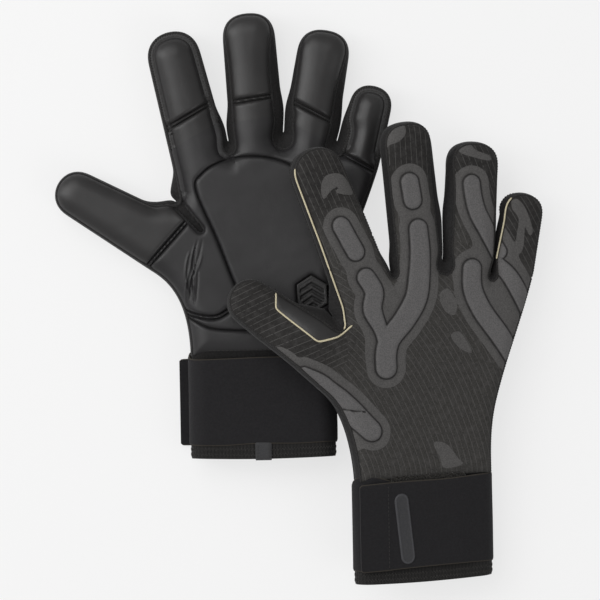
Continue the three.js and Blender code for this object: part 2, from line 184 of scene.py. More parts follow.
def flat_loop(glove, node):
    """The outline of a frame plate's palm-side face, in order, in the glove's own frame."""
    mesh = frame["nodes"][node].data
    points = glove.local(node_points(node))
    keys = {}
    merged = [keys.setdefault(tuple(p.round(2)), len(keys)) for p in points]
    edges = set()
    normals = []
    for face in mesh.polygons:
        if glove.axes[2] @ np.array(face.normal) > 0.9:
            ring = [merged[v] for v in face.vertices]
            edges.update(zip(ring, ring[1:] + ring[:1]))
            normals.append(glove.axes @ np.array(face.normal) * face.area)
    following = {a: b for a, b in edges if (b, a) not in edges}
    loop = [next(iter(following))]
    while following[loop[-1]] != loop[0]:
        loop.append(following[loop[-1]])
    normal = np.sum(normals, axis=0)
    return np.array(list(keys))[loop], normal / math.hypot(*normal)


def turned(points, pivot, axis, angle):
    """Points turned about a line, by one angle or by an angle for each point."""
    rel = np.asarray(points, float) - pivot
    c, s = np.cos(angle), np.sin(angle)
    if np.ndim(angle):
        c, s = c[:, None], s[:, None]
    return pivot + rel * c + np.cross(axis, rel) * s + np.outer(rel @ axis, axis) * (1 - c)


class Digit:
    """A finger's middle line on the pattern: `at` is the middle of its flex notch."""

    def __init__(self, glove, name, palm_top):
        self.name = name
        loop, normal = flat_loop(glove, f"{glove.side}_{name}_pad")
        edges = np.roll(loop, -1, axis=0) - loop
        lengths = np.hypot(edges[:, 0], edges[:, 1])
        root = (np.roll(loop, -1, axis=0) + loop) / 2
        palm = glove.local([middle(f"{glove.side}_palm_centre_pad")])[0]
        long_edges = [i for i in range(len(loop)) if lengths[i] > 0.5 * lengths.max()]
        notch = min(long_edges, key=lambda i: math.hypot(*(root[i] - palm)[:2]))
        self.pivot = root[notch]
        self.bend = math.acos(min(1.0, normal[2]))
        if self.bend > 0.01:
            along = -normal[:2] / math.hypot(*normal[:2])
            self.axis = np.array([along[1], -along[0], 0.0])
            step = np.array([*(along * math.cos(self.bend)), math.sin(self.bend)])
            self.pivot = self.pivot - step * (self.pivot[2] - palm_top) / step[2]
            loop = turned(loop, self.pivot, self.axis, -self.bend)
        loop = loop[:, :2]
        n = len(loop)
        corners = [loop[(notch + k) % n] for k in (-1, 0, 1, 2)]
        sides = [corners[0] - corners[1], corners[3] - corners[2]]
        sides = [s / math.hypot(*s) for s in sides]
        along = sides[0] + sides[1]
        self.along = along / math.hypot(*along)
        self.across = np.array([self.along[1], -self.along[0]])
        self.axis = np.array([*self.across, 0.0])
        self.tip_radius = math.hypot(*(corners[0] - corners[3])) / 2
        tip_centre = (corners[0] + corners[3]) / 2
        crease = corners[2] - corners[1]
        self.skew = (crease @ self.along) / (crease @ self.across)
        self.at = self.pivot[:2]
        self.reach = (tip_centre - self.at) @ self.along
        self.half = abs(crease @ self.across) / 2
        self.length = self.reach + self.tip_radius

    def width(self, along):
        """Half the finger's width at a distance from the notch."""
        return self.half + (self.tip_radius - self.half) * along / self.reach

    def point(self, across, along):
        return self.at + self.across * across + self.along * along

    def seen(self, points):
        """Points on the pattern as (across, along) this finger."""
        rel = np.asarray(points)[..., :2] - self.at
        return rel @ self.across, rel @ self.along

    def past_notch(self, points):
        """How far points lie beyond the line of the flex notch."""
        across, along = self.seen(points)
        return (along - self.skew * across) / math.hypot(1, self.skew)


def layers(glove):
    """The heights of a glove's layers on the pattern."""
    back, gusset, palm = (glove.extent(n) for n in ("backhand_panel", "thumb_side_gusset", "heel_panel"))
    return {"back": back[0][2], "back_in": back[1][2], "palm_in": palm[0][2], "palm": palm[1][2],
            "wrist": back[0][1], "half_wrist": glove.extent("cuff_sleeve")[1][0]}


for glove in GLOVES.values():
    glove.z = layers(glove)
    glove.digits = {name: Digit(glove, name, glove.z["palm"]) for name in DIGITS}
    for digit in glove.digits.values():
        print(glove.side, digit.name, "notch", digit.at.round(1), "half width", round(digit.half, 1),
              "length", round(digit.length, 1), "skew", round(digit.skew, 2), "bend",
              round(math.degrees(digit.bend), 1))

# %% [markdown]
# ## The outline of the hand
# Every layer of a glove follows one line: from the wrist, round the thumb and each finger,
# into each crotch, and back to the wrist. The fingers' middle lines give most of it. Only the
# crotches and the two curves from wrist to thumb and from wrist to little finger are given
# one by one. A finger of a soft glove has a blunt tip, so the tip is a squared-off arc.

# %% Draw curves on the pattern
STEP = 1.3  # length of a line's steps, in mm
BLUNT = {"thumb": 2.1, "index": 2.2, "middle": 2.5, "ring": 2.5, "little": 2.3}
CROTCHES = {
    "left": {"thumb": (-48.5, 163), "index": (-14.8, 195.5), "middle": (19.0, 200.5), "ring": (51.4, 194.5)},
    "right": {"thumb": (-45.5, 163), "index": (-9.6, 193.5), "middle": (24, 196.5), "ring": (54.5, 188)},
}
CROTCH_RADIUS = {"thumb": 3.4, "index": 2.0, "middle": 2.0, "ring": 1.8}


def unit(v):
    return np.asarray(v, float) / math.hypot(*v)


def bezier(a, b, c, d, steps=24):
    t = np.linspace(0, 1, steps)[:, None]
    a, b, c, d = (np.asarray(p, float) for p in (a, b, c, d))
    return a * (1 - t) ** 3 + 3 * b * t * (1 - t) ** 2 + 3 * c * t * t * (1 - t) + d * t ** 3


def even(line, step=STEP):
    """The same line in even steps."""
    line = np.asarray(line, float)
    run = np.concatenate([[0], np.cumsum(np.linalg.norm(np.diff(line, axis=0), axis=1))])
    count = max(2, int(round(run[-1] / step)) + 1)
    at = np.linspace(0, run[-1], count)
    return np.stack([np.interp(at, run, line[:, k]) for k in range(line.shape[1])], axis=1)


def relaxed(line, rounds=4, closed=False):
    """A line with its corners eased, and its ends where they were."""
    line = np.array(line, float)
    for _ in range(rounds):
        if closed:
            line = line / 2 + (np.roll(line, 1, axis=0) + np.roll(line, -1, axis=0)) / 4
        else:
            line[1:-1] = line[1:-1] / 2 + (line[2:] + line[:-2]) / 4
    return line


def curve(points, step=STEP, closed=False):
    """A smooth line through a few points."""
    points = [np.asarray(p, float) for p in points]
    n = len(points)
    line = []
    for i in range(n if closed else n - 1):
        get = (lambda k: points[k % n]) if closed else (lambda k: points[min(max(k, 0), n - 1)])
        a, b, c, d = get(i - 1), get(i), get(i + 1), get(i + 2)
        for t in np.linspace(0, 1, 12, endpoint=False):
            line.append(0.5 * (2 * b + (c - a) * t + (2 * a - 5 * b + 4 * c - d) * t * t
                               + (3 * b - a - 3 * c + d) * t ** 3))
    line.append(points[0] if closed else points[-1])
    return even(line, step)


def normals(line):
    """Unit vectors to the left of a line's direction."""
    run = np.gradient(np.asarray(line, float), axis=0)
    run /= np.linalg.norm(run, axis=1)[:, None]
    return np.stack([-run[:, 1], run[:, 0]], axis=1)


def finger_side(digit, side, start, end):
    return [digit.point(side * digit.width(a), a) for a in np.linspace(start, end, 12)]


def fingertip(digit):
    """The blunt arc round a fingertip, from the thumb side to the little side."""
    power = 2 / BLUNT[digit.name]
    points = []
    for angle in np.linspace(math.pi, 0, 32):
        c, s = math.cos(angle), math.sin(angle)
        points.append(digit.point(digit.tip_radius * math.copysign(abs(c) ** power, c),
                                  digit.reach + digit.tip_radius * abs(s) ** power))
    return points


def hand_outline(glove):
    digits = [glove.digits[name] for name in DIGITS]
    thumb, little = digits[0], digits[-1]
    half, wrist = glove.z["half_wrist"], glove.z["wrist"]
    start = thumb.point(-thumb.width(0), 0)
    line = list(bezier((-half, wrist), (-half, wrist + 24), start - thumb.along * 26, start))
    rise = 13  # from a crotch to where the finger's side is straight
    for digit, after in zip(digits, digits[1:] + [None]):
        first = 2 if digit is thumb else rise + (np.array(crotch) - digit.at) @ digit.along
        line += finger_side(digit, -1, first, digit.reach - 1)
        line += fingertip(digit)
        if after is None:
            line += finger_side(digit, 1, digit.reach - 1, 0)
            break
        crotch = np.array(CROTCHES[glove.side][digit.name])
        last = rise + (crotch - digit.at) @ digit.along
        line += finger_side(digit, 1, digit.reach - 1, last)
        up = unit(digit.along + after.along)
        beside = np.array([up[1], -up[0]])
        radius = CROTCH_RADIUS[digit.name]
        for angle in np.linspace(math.pi, 2 * math.pi, 7):
            line.append(crotch + up * radius * (1 + math.sin(angle)) + beside * radius * math.cos(angle))
    end = line[-1]
    line += list(bezier(end, end - unit(little.along + (0.06, 0)) * 45, (half + 1, wrist + 45),
                        (half, wrist)))
    return relaxed(even(relaxed(even(line, 0.8), 6)), 2)


CUT = {"thumb": 0.0, "index": -14.0, "middle": -14.0, "ring": -14.0, "little": 0.0}
BEND_LENGTH = {"thumb": 26.0, "index": 28.0, "middle": 28.0, "ring": 28.0, "little": 24.0}


def with_cuts(glove, line):
    """The outline with a point exactly where each finger's cut line crosses it."""
    points = [line[0]]
    for a, b in zip(line, line[1:]):
        for name in DIGITS:
            digit = glove.digits[name]
            sa, sb = (digit.past_notch(p) - CUT[name] for p in (a, b))
            across, along = digit.seen((a + b) / 2)
            if sa * sb < 0 and abs(across) < digit.width(along) + 5:
                points.append(a + (b - a) * sa / (sa - sb))
        points.append(b)
    return np.array(points)


def stretches(glove):
    """The outline cut into lengths: (name, first point, last point, finger or None)."""
    names = ["thumb_side_gusset", "thumb", "thumb_index_web", "index", "index_middle_web", "middle",
             "middle_ring_web", "ring", "ring_little_web", "little", "little_side_gusset"]
    stops = [0]
    for name in DIGITS:
        digit = glove.digits[name]
        across, along = digit.seen(glove.outline)
        tip = np.argmax(along - np.abs(across))
        near = np.abs(across) < digit.width(along) + 5
        crossing = np.flatnonzero((np.abs(digit.past_notch(glove.outline) - CUT[name]) < 1e-4) & near)
        stops.append(crossing[crossing < tip].max())
        if name == "thumb":  # its inner side runs into the crotch before it reaches the cut
            crotch = np.array(CROTCHES[glove.side]["thumb"])
            stops.append(np.argmin(np.hypot(*(glove.outline - crotch).T)))
        else:
            stops.append(crossing[crossing > tip].min())
    stops.append(len(glove.outline) - 1)
    return [(name, int(a), int(b), glove.digits.get(name)) for name, a, b in zip(names, stops, stops[1:])]


for glove in GLOVES.values():
    glove.outline = with_cuts(glove, hand_outline(glove))
    glove.out = normals(glove.outline)
    glove.stretches = stretches(glove)
    print(glove.side, "outline:", len(glove.outline), "points,", [s[1] for s in glove.stretches])

# %% [markdown]
# ## One net of triangles for a whole layer
# The back and the palm are sheets, so each is made as one flat net that follows every seam,
# and is then lifted to its height. Cutting the net apart along the seams gives pieces whose
# edges match exactly, which is how a real glove is cut from one panel. The points crowd
# together near the edge, where the surface turns down, and are even elsewhere.

# %% Fill an outline with a net
RINGS = (0.35, 0.9, 1.8, 3.0, 4.4)  # rows of points just inside the edge, in mm
GRID = 1.75


def inside(points, loop):
    """Which points lie inside a closed loop."""
    points = np.asarray(points)
    result = np.zeros(len(points), bool)
    a = np.asarray(loop)
    b = np.roll(a, -1, axis=0)
    for (x0, y0), (x1, y1) in zip(a, b):
        if y0 == y1:
            continue
        crosses = (y0 > points[:, 1]) != (y1 > points[:, 1])
        at = (x1 - x0) * (points[:, 1] - y0) / (y1 - y0) + x0
        result ^= crosses & (points[:, 0] < at)
    return result


def distance(points, line, closed=False):
    """The distance from each point to a line, in mm."""
    a = np.asarray(line, float)
    b = np.roll(a, -1, axis=0) if closed else a[1:]
    a = a if closed else a[:-1]
    run = b - a
    square = np.maximum((run ** 2).sum(1), 1e-12)
    result = np.empty(len(points))
    for i in range(0, len(points), 2000):
        rel = points[i:i + 2000, None, :] - a[None]
        t = np.clip((rel * run).sum(2) / square, 0, 1)
        result[i:i + 2000] = np.sqrt((((rel - t[..., None] * run) ** 2).sum(2)).min(1))
    return result


def moved(line, by):
    """A line moved to its left, or to its right by a negative distance."""
    return np.asarray(line) + normals(line) * by


def hexagons(low, high, step):
    """Points of an even triangle grid over a box."""
    rows = np.arange(low[1], high[1] + step, step * 0.866)
    grid = [np.stack([np.arange(low[0], high[0] + step, step) + (i % 2) * step / 2,
                      np.full(len(np.arange(low[0], high[0] + step, step)), y)], axis=1)
            for i, y in enumerate(rows)]
    return np.concatenate(grid)


def net(outline, seams, guides=(), fine=(), rings=RINGS, grid=GRID):
    """Points and triangles that fill a closed outline. Seams are lines that cut the layer
    into pieces, and guides are lines that the triangles only follow. fine is a list of
    (test, step): where test(points) is true, the net is closer."""
    outline = np.asarray(outline)
    fixed = [outline] + [np.asarray(s) for s in (*seams, *guides)]
    cutting = len(outline) + sum(len(s) - 1 for s in seams)
    rows = []
    n = normals(np.vstack([outline[-1], outline, outline[0]]))[1:-1]
    for ring in rings:
        row = outline - n * ring
        row = row[distance(row, outline, True) > ring * 0.97]
        rows.append(row)
    spread = hexagons(outline.min(0), outline.max(0), grid)
    spread = spread[distance(spread, outline, True) > (rings[-1] if rings else 0) + grid * 0.5]
    for test, step in fine:
        close = hexagons(outline.min(0), outline.max(0), step)
        close = close[test(close)]
        close = close[inside(close, outline)]
        close = close[distance(close, outline, True) > step * 0.6]
        spread = np.vstack([spread[~test(spread)], close])
        rows = [row[~test(row)] for row in rows]
    free = np.vstack(rows + [spread])
    free = free[inside(free, outline)]
    for seam in fixed[1:]:
        free = free[distance(free, seam) > 0.5]
    points = [outline]
    edges = [(i, (i + 1) % len(outline)) for i in range(len(outline))]
    base = len(outline)
    for seam in fixed[1:]:
        edges += [(base + i, base + i + 1) for i in range(len(seam) - 1)]
        points.append(seam)
        base += len(seam)
    points = np.vstack(points + [free])
    made = delaunay_2d_cdt([Vector(p) for p in points], edges, [], 0, 1e-4)
    places = np.array([tuple(p) for p in made[0]])
    triangles = np.array([tuple(f) for f in made[2]])
    centres = places[triangles].mean(1)
    triangles = triangles[inside(centres, outline)]
    walls = {tuple(sorted(e)) for e, source in zip(made[1], made[4]) if any(i < cutting for i in source)}
    return places, triangles, walls


def regions(triangles, walls):
    """A number for each triangle: triangles in one region meet without crossing a seam."""
    by_edge = {}
    for i, (a, b, c) in enumerate(triangles.tolist()):
        for edge in ((a, b), (b, c), (c, a)):
            key = (min(edge), max(edge))
            if key not in walls:
                by_edge.setdefault(key, []).append(i)
    parent = list(range(len(triangles)))

    def root(i):
        while parent[i] != i:
            parent[i] = parent[parent[i]]
            i = parent[i]
        return i

    for pair in by_edge.values():
        if len(pair) == 2:
            parent[root(pair[0])] = root(pair[1])
    return np.array([root(i) for i in range(len(triangles))])


def named_regions(places, triangles, walls, seeds):
    """The triangles of each named region, found by flooding from a seed point."""
    region = regions(triangles, walls)
    centres = places[triangles].mean(1)
    marks = []
    for name, seed in seeds.items():
        nearest = np.argmin(np.hypot(*(centres - np.asarray(seed)).T))
        if region[nearest] in marks:
            raise ValueError(f"the seams leave {name} joined to another region")
        marks.append(region[nearest])
    owner = np.full(len(triangles), -1)
    for number, mark in enumerate(marks):
        owner[region == mark] = number
    meets = {}
    for i, (a, b, c) in enumerate(triangles.tolist()):
        for edge in ((a, b), (b, c), (c, a)):
            meets.setdefault(tuple(sorted(edge)), []).append(i)
    while np.any(owner < 0):  # a sliver between two lines joins the piece on its longest side
        joins = {}
        for (a, b), pair in meets.items():
            if len(pair) == 2 and (owner[pair[0]] < 0) != (owner[pair[1]] < 0):
                loose, known = sorted(pair, key=lambda i: owner[i])
                size = math.dist(places[a], places[b])
                joins[loose] = max(joins.get(loose, (0, -1)), (size, owner[known]))
        if not joins:
            break
        for loose, (_, number) in joins.items():
            owner[loose] = number
    found = {name: triangles[owner == number] for number, name in enumerate(seeds)}
    print("regions:", {name: len(part) for name, part in found.items()})
    return found


# %% [markdown]
# ## From a net to a closed piece
# A piece is the net lifted to its outer height, the same net at its inner height, and a wall
# round the edge. The shading stays smooth over the surface and turns sharp at the wall.
# Points past a bent finger's notch are turned about it, a little more with each millimetre,
# so that the skin curves over the bend instead of breaking.

# %% Make a mesh in the world
SMOOTH_BELOW = math.radians(48)


BEND_ZONE = {"thumb": (14.0, 46.0)}  # where a finger curves, in mm past its notch


def bent(glove, digit, points):
    """Points of a finger, in the glove's frame, bent at its notch as the glove lies."""
    if digit is None or digit.bend < 0.01:
        return points
    start, end = BEND_ZONE.get(digit.name, (-9.0, 9.0))
    t = np.clip((digit.past_notch(points) - start) / (end - start), 0, 1)
    pivot = np.array([*digit.at, glove.z["palm"]])
    return turned(points, pivot, digit.axis, digit.bend * t * t * (3 - 2 * t))


# How far the cuff is drawn off the frame's place, to the little side, in mm: at its mouth and
# at the wrist. From there the shift fades out into the hand.
ASKEW = {"left": (3.0, 3.0), "right": (1.1, 3.6)}
SQUEEZE = {"left": 0.01, "right": 0.032}  # the cuff's sides are also drawn in by this share
ASKEW_END = 112.0


def askew(glove, points):
    """Points on the pattern, moved as the cuff lies."""
    y, wrist = points[:, 1], glove.z["wrist"]
    at_mouth, at_wrist = ASKEW[glove.side]
    shift = at_mouth + (at_wrist - at_mouth) * np.clip(y / wrist, 0, 1)
    fade = np.clip((ASKEW_END - y) / (ASKEW_END - wrist), 0, 1)
    points = points.copy()
    points[:, 0] += (shift - points[:, 0] * SQUEEZE[glove.side]) * fade * fade * (3 - 2 * fade)
    return points


def make_mesh(name, vertices, faces):
    """An object from vertices in metres, with smooth shading and sharp corners."""
    mesh = bpy.data.meshes.new(name)
    mesh.from_pydata([tuple(v) for v in vertices], [], [tuple(f) for f in faces])
    mesh.polygons.foreach_set("use_smooth", np.ones(len(mesh.polygons), bool))
    mesh.set_sharp_from_angle(angle=SMOOTH_BELOW)
    thing = bpy.data.objects.new(name, mesh)
    bpy.context.scene.collection.objects.link(thing)
    return thing


def place(glove, name, points, faces, digit=None):
    """A mesh from points on the pattern. A mirrored glove turns the faces round."""
    if glove.mirrored:
        faces = [tuple(f)[::-1] for f in faces]
    world = glove.world(askew(glove, bent(glove, digit, np.asarray(points, float))))
    thing = make_mesh(f"{glove.side}_{name}", world, faces)
    glove.pieces[name] = thing
    if digit is not None:
        glove.on_digit.add(name)
    return thing


def lifted(glove, name, places, triangles, outer, inner, digit=None, facing=1, fields=None):
    """A closed piece from part of a net. outer and inner are heights for every place of the
    net; facing is 1 for a surface that looks to the palm and -1 for the back."""
    used, small = np.unique(triangles, return_inverse=True)
    small = small.reshape(-1, 3)
    a, b, c = (places[used][small[:, k]] for k in range(3))
    area = (b - a)[:, 0] * (c - a)[:, 1] - (b - a)[:, 1] * (c - a)[:, 0]
    small = np.where((area > 0)[:, None], small, small[:, ::-1])
    count = len(used)
    top = np.column_stack([places[used], outer[used]])
    low = np.column_stack([places[used], inner[used]])
    directed = {(t[i], t[(i + 1) % 3]) for t in small.tolist() for i in range(3)}
    rim = [e for e in directed if (e[1], e[0]) not in directed]
    faces = [tuple(t) for t in small.tolist()]
    faces += [(c + count, b + count, a + count) for a, b, c in small.tolist()]
    faces += [(b, a, a + count, b + count) for a, b in rim]
    if facing < 0:
        faces = [f[::-1] for f in faces]
    thing = place(glove, name, np.vstack([top, low]), faces, digit)
    for field, values in (fields or {}).items():
        data = thing.data.attributes.new(field, "FLOAT", "POINT").data
        data.foreach_set("value", np.tile(values[used], 2).astype(np.float32))
    return thing


# %% [markdown]
# ## The shape of puffed foam
# Foam under latex rises steeply from a seam and then levels off, like a quarter of an
# ellipse. Two such shapes make the whole palm: a wide one along the hand's edge, and a
# narrow one along each sewn groove. A groove on these gloves is sewn twice, so a thin welt
# stands between two creases.

# %% Shapes of foam
PUFF = 12.0  # how far from the edge the palm has risen to its full height
CREASE = 2.8
CREASE_DEPTH = 2.5
WELT = 2.3  # width of the welt between the two creases of a groove


def rise(d, reach):
    """0 at a seam and 1 from `reach` on, steep at first."""
    return np.sqrt(np.maximum(0, 1 - (1 - np.clip(d / reach, 0, 1)) ** 2))


def soft(d, start, end):
    """A smooth step from 0 to 1."""
    t = np.clip((d - start) / (end - start), 0, 1)
    return t * t * (3 - 2 * t)

# %% [markdown]
# ## Where the palm is sewn
# The palm has a padded middle inside a double groove, a pad over the ball of the thumb, a
# soft roll at the heel, and a heel panel. Each finger has a flex notch, sewn the same way. A
# slot runs from the crotch of the thumb into the palm, where the gusset shows.

# %% Draw the palm's seams on the pattern
PALM_MIDDLE = [(-37, 172), (-33, 182), (-22, 189), (-6, 192.5), (12, 191), (27, 184.5), (40, 172), (47, 155),
               (49, 136), (48, 116), (42, 98), (28, 88), (10, 86), (-4, 92), (-13, 111), (-24, 140)]
BALL_SEAM = [(-82, 118), (-63, 110.5), (-46, 96), (-29, 91.5), (-17, 97), (-9, 103)]
SIDE_SEAM = [(44, 104), (56, 101), (66, 98)]
ROLL_SEAM = [(-70, 105), (-53, 97.5), (-41, 88.5), (-28, 83), (0, 81.5), (28, 80), (46, 78), (70, 76)]
SLOT_TIP = (-34.5, 146.5)
SLOT_WIDTH = 6.4
CUT_REACH = {"thumb": (5, 2), "little": (2, 5)}  # how far a line runs past a finger's sides


def notch_line(digit, at):
    """A line across a finger, parallel to its flex notch."""
    before, after = CUT_REACH.get(digit.name, (4, 4))
    slope = at * math.hypot(1, digit.skew)
    ends = (-digit.width(0) - before, digit.width(0) + after)
    return even([digit.point(x, slope + digit.skew * x) for x in ends], 1.4)


def inset(glove, thumb_side, little_side, all_round):
    """How far a layer's edge lies inside the outline at each point. A finger with gussets is
    narrower there than the outline, on one side or on both."""
    result = np.full(len(glove.outline), float(all_round))
    for i, name in enumerate(DIGITS):
        if name not in thumb_side and name not in little_side:
            continue
        digit = glove.digits[name]
        across, along = digit.seen(glove.outline)
        near = (np.abs(across) < digit.width(along) + 4) & (along < digit.length + 4) & (along > -45)
        fade = soft(along, digit.length, digit.reach - 22) * soft(along, -45, -30)
        for side, extra in ((-1, thumb_side.get(name, 0)), (1, little_side.get(name, 0))):
            here = near & (np.sign(across) == side)
            result[here] = np.maximum(result[here], all_round + (extra * fade)[here])
    return relaxed(result[:, None], 10)[:, 0]


def slot_lines(glove):
    """The two edges of the slot in the palm, joined round its tip."""
    crotch = np.array(CROTCHES[glove.side]["thumb"])
    tip = np.array(SLOT_TIP) + (crotch - CROTCHES["left"]["thumb"])
    along = unit(tip - crotch)
    beside = np.array([-along[1], along[0]])
    start = crotch - along * 9
    line = [start - beside * SLOT_WIDTH * 0.6, tip - beside * SLOT_WIDTH / 2 * 0.8]
    for angle in np.linspace(-math.pi / 2, math.pi / 2, 7)[1:-1]:
        line.append(tip + (along * math.cos(angle) + beside * math.sin(angle)) * SLOT_WIDTH / 2 * 0.8)
    line += [tip + beside * SLOT_WIDTH / 2 * 0.8, start + beside * SLOT_WIDTH * 0.6]
    return relaxed(even(line, 0.9), 2)


def closing(glove, edge):
    """The wrist line that closes a layer's edge, from the little side to the thumb side."""
    return even([edge[-1], edge[0]], STEP)[1:-1]


def hull(points):
    """The corners of the smallest convex loop round points, in order."""
    points = sorted(map(tuple, np.asarray(points).round(3)))

    def half(row):
        chain = []
        for p in row:
            while len(chain) > 1 and ((chain[-1][0] - chain[-2][0]) * (p[1] - chain[-2][1])
                                      - (chain[-1][1] - chain[-2][1]) * (p[0] - chain[-2][0])) <= 0:
                chain.pop()
            chain.append(p)
        return chain[:-1]

    return np.array(half(points) + half(points[::-1]))


GRIP_SHIFT = (3.6, -2.8)  # how far the grip is drawn off the frame's place, in mm


def grip_loop(glove, step=1.0):
    """The outline of the rubber grip in the padded middle, with its corners rounded."""
    corners = hull(glove.local(node_points(f"{glove.side}_heel_grip"))[:, :2])
    corners = corners + GRIP_SHIFT
    return relaxed(even([*corners, corners[0]], step)[:-1][::-1], 1, closed=True)


def palm_net(glove):
    digits = glove.digits
    shrink = inset(glove, {"middle": 1.6, "ring": 1.6}, {"middle": 4.2, "ring": 3.6}, 1.2)
    glove.palm_edge = glove.outline - glove.out * shrink[:, None]
    edge = np.vstack([glove.palm_edge, closing(glove, glove.palm_edge)])
    slot = slot_lines(glove)
    middle_loop = curve(PALM_MIDDLE, closed=True)
    nearest = middle_loop[np.argmin(np.hypot(*(middle_loop - slot[len(slot) // 2]).T))]
    seams = {"middle": middle_loop, "ball": curve(BALL_SEAM), "roll": curve(ROLL_SEAM), "slot": slot,
             "side": curve(SIDE_SEAM), "slot_cut": even([slot[len(slot) // 2], nearest])}
    grip = grip_loop(glove)
    seams["grip"] = np.vstack([grip, grip[0]])
    welts = {"middle": np.vstack([w := moved(middle_loop, WELT)[:-1], w[0]]),
             "ball": moved(curve(BALL_SEAM), -WELT)}
    for name in DIGITS:
        digit = digits[name]
        seams[f"{name}_notch"] = notch_line(digit, 0)
        welts[name] = notch_line(digit, -WELT)
        if CUT[name] < 0:
            seams[f"{name}_cut"] = notch_line(digit, CUT[name])
    glove.palm_seams, glove.palm_welts, glove.palm_slot = seams, welts, slot
    return edge


# %% Lift the palm
FLANGE = 2.9  # the flat sewn edge round the index and the little finger
FLANGE_HEIGHT = 1.1
PALM_INNER = 0.5  # how far the latex reaches below its sewn edge


def flange_weight(glove, points):
    """1 beside the index and the little finger, where the palm ends in a flat flange."""
    weight = np.zeros(len(points))
    for name, start in (("index", -60), ("little", -4)):
        digit = glove.digits[name]
        across, along = digit.seen(points)
        near = soft(digit.width(along) + 3 - np.abs(across), 0, 1) * soft(along, start, start + 12)
        weight = np.maximum(weight, near * (along < digit.length + 3))
    return weight


def near_wrinkles(points):
    return (np.abs(points[:, 0] + 37) < 10) & (np.abs(points[:, 1] - 119) < 23)


def wrinkles(glove, points):
    """The fine creases that the thumb's folding leaves in the ball pad."""
    rng = np.random.default_rng(7)
    depth = np.zeros(len(points))
    for k in range(14):
        top = 141 - rng.uniform(0, 26)
        low = max(98, top - rng.uniform(14, 30))
        y = np.linspace(top, low, 10)
        lean = 0.16 * (y - 119) + 1.1 * np.sin(y / 5.5 + k)
        x = -39.5 + lean + rng.uniform(-4.5, 4.5) - (y < 112) * (112 - y) * -0.16
        line = relaxed(np.column_stack([x, y]), 2)
        d = distance(points, even(line, 1.0))
        ends = soft(points[:, 1], low - 1, low + 5) * soft(-points[:, 1], -top - 1, -top + 5)
        depth += ends * rng.uniform(0.4, 0.9) * (-1) ** k * np.exp(-(d / 0.6) ** 2)
    return depth


GRIP_SINK = 3.4
SETTLE = 0.8  # the padded middle sinks a little in its centre


def palm_heights(glove, places, edge, name=None):
    """The height of the latex's outer surface at every place of the net."""
    low, high = glove.z["palm_in"], glove.z["palm"]
    d = distance(places, edge, True)
    flat = flange_weight(glove, places) * FLANGE
    puffed = low + 0.6 + (high - low - 0.6) * rise(d - flat, PUFF)
    height = np.where(d < flat, low + 0.5 + FLANGE_HEIGHT * rise(d, 0.6), puffed)
    fall = np.zeros(len(places))
    welt = np.zeros(len(places))
    for key, first in glove.palm_seams.items():
        if key.endswith("_cut"):
            continue
        near = np.ones(len(places))
        if key.endswith("_notch"):
            digit = glove.digits[key.split("_")[0]]
            across, _ = digit.seen(places)
            near = soft(digit.width(0) + 4 - np.abs(across), 0, 2)
        d1 = distance(places, first)
        if key == "grip":
            fall = np.maximum(fall, 0.55 * (1 - rise(d1, GRIP_SINK)))
            continue
        fall = np.maximum(fall, near * (1 - rise(d1, CREASE)))
        second = glove.palm_welts.get(key.split("_")[0])
        if second is not None:
            d2 = distance(places, second)
            fall = np.maximum(fall, near * (1 - rise(d2, CREASE)))
            welt = np.maximum(welt, near * soft(WELT + 0.5 - d1 - d2 + 1.0, 0, 0.8))
    height = height - CREASE_DEPTH * fall - 0.3 * welt - wrinkles(glove, places)
    height -= SETTLE * np.exp(-((places - (6, 135)) ** 2).sum(1) / 38 ** 2)
    return np.maximum(height, low + 0.3)


SEEDS = {
    "palm_centre_pad": (8, 140), "thumb_ball_pad": (-52, 118), "heel_panel": (0, 72),
    "heel_roll": (-38, 88.5), "finger_root_pad": (20, 196),
}


def build_palm(glove):
    """The latex side, cut along its seams into the pieces that it is sewn from."""
    edge = palm_net(glove)
    lines = [line for key, line in glove.palm_seams.items() if not key.endswith("_cut")]

    def near_seams(points):
        return np.min([distance(points, line) for line in (*lines, *glove.palm_welts.values())], axis=0) < 3.4

    places, triangles, walls = net(edge, list(glove.palm_seams.values()), list(glove.palm_welts.values()),
                                   [(near_seams, 0.8), (near_wrinkles, 0.55)])
    outer = palm_heights(glove, places, edge)
    low = glove.z["palm_in"]
    slot = glove.palm_slot
    in_slot = inside(places, slot) & (distance(places, slot) > 0.05)
    outer = np.where(in_slot, np.minimum(outer, low + 0.4), outer)
    inner = np.minimum(np.full(len(places), low - PALM_INNER), outer - 0.4)
    seeds = dict(SEEDS, slot=slot.mean(0) + (unit(slot[len(slot) // 2] - slot.mean(0)) * 2))
    for name in DIGITS:
        digit = glove.digits[name]
        seeds[f"{name}_pad"] = digit.point(0, digit.reach * 0.6)
        if CUT[name] < 0:
            seeds[f"{name}_root"] = digit.point(0, CUT[name] * 0.5)
    seeds["grip"] = glove.palm_seams["grip"].mean(0)
    parts = named_regions(places, triangles, walls, seeds)
    del parts["grip"]  # the rubber grip fills this hole
    for name in DIGITS:
        if CUT[name] < 0:
            parts[f"{name}_pad"] = np.vstack([parts[f"{name}_pad"], parts.pop(f"{name}_root")])
    made = {}
    for name, part in parts.items():
        digit = glove.digits.get(name.split("_")[0]) if name.endswith("_pad") else None
        title = "thumb_slot" if name == "slot" else name.replace("_pad", "") + "_latex"
        made[name] = lifted(glove, title, places, part, outer, inner, digit)
    return made
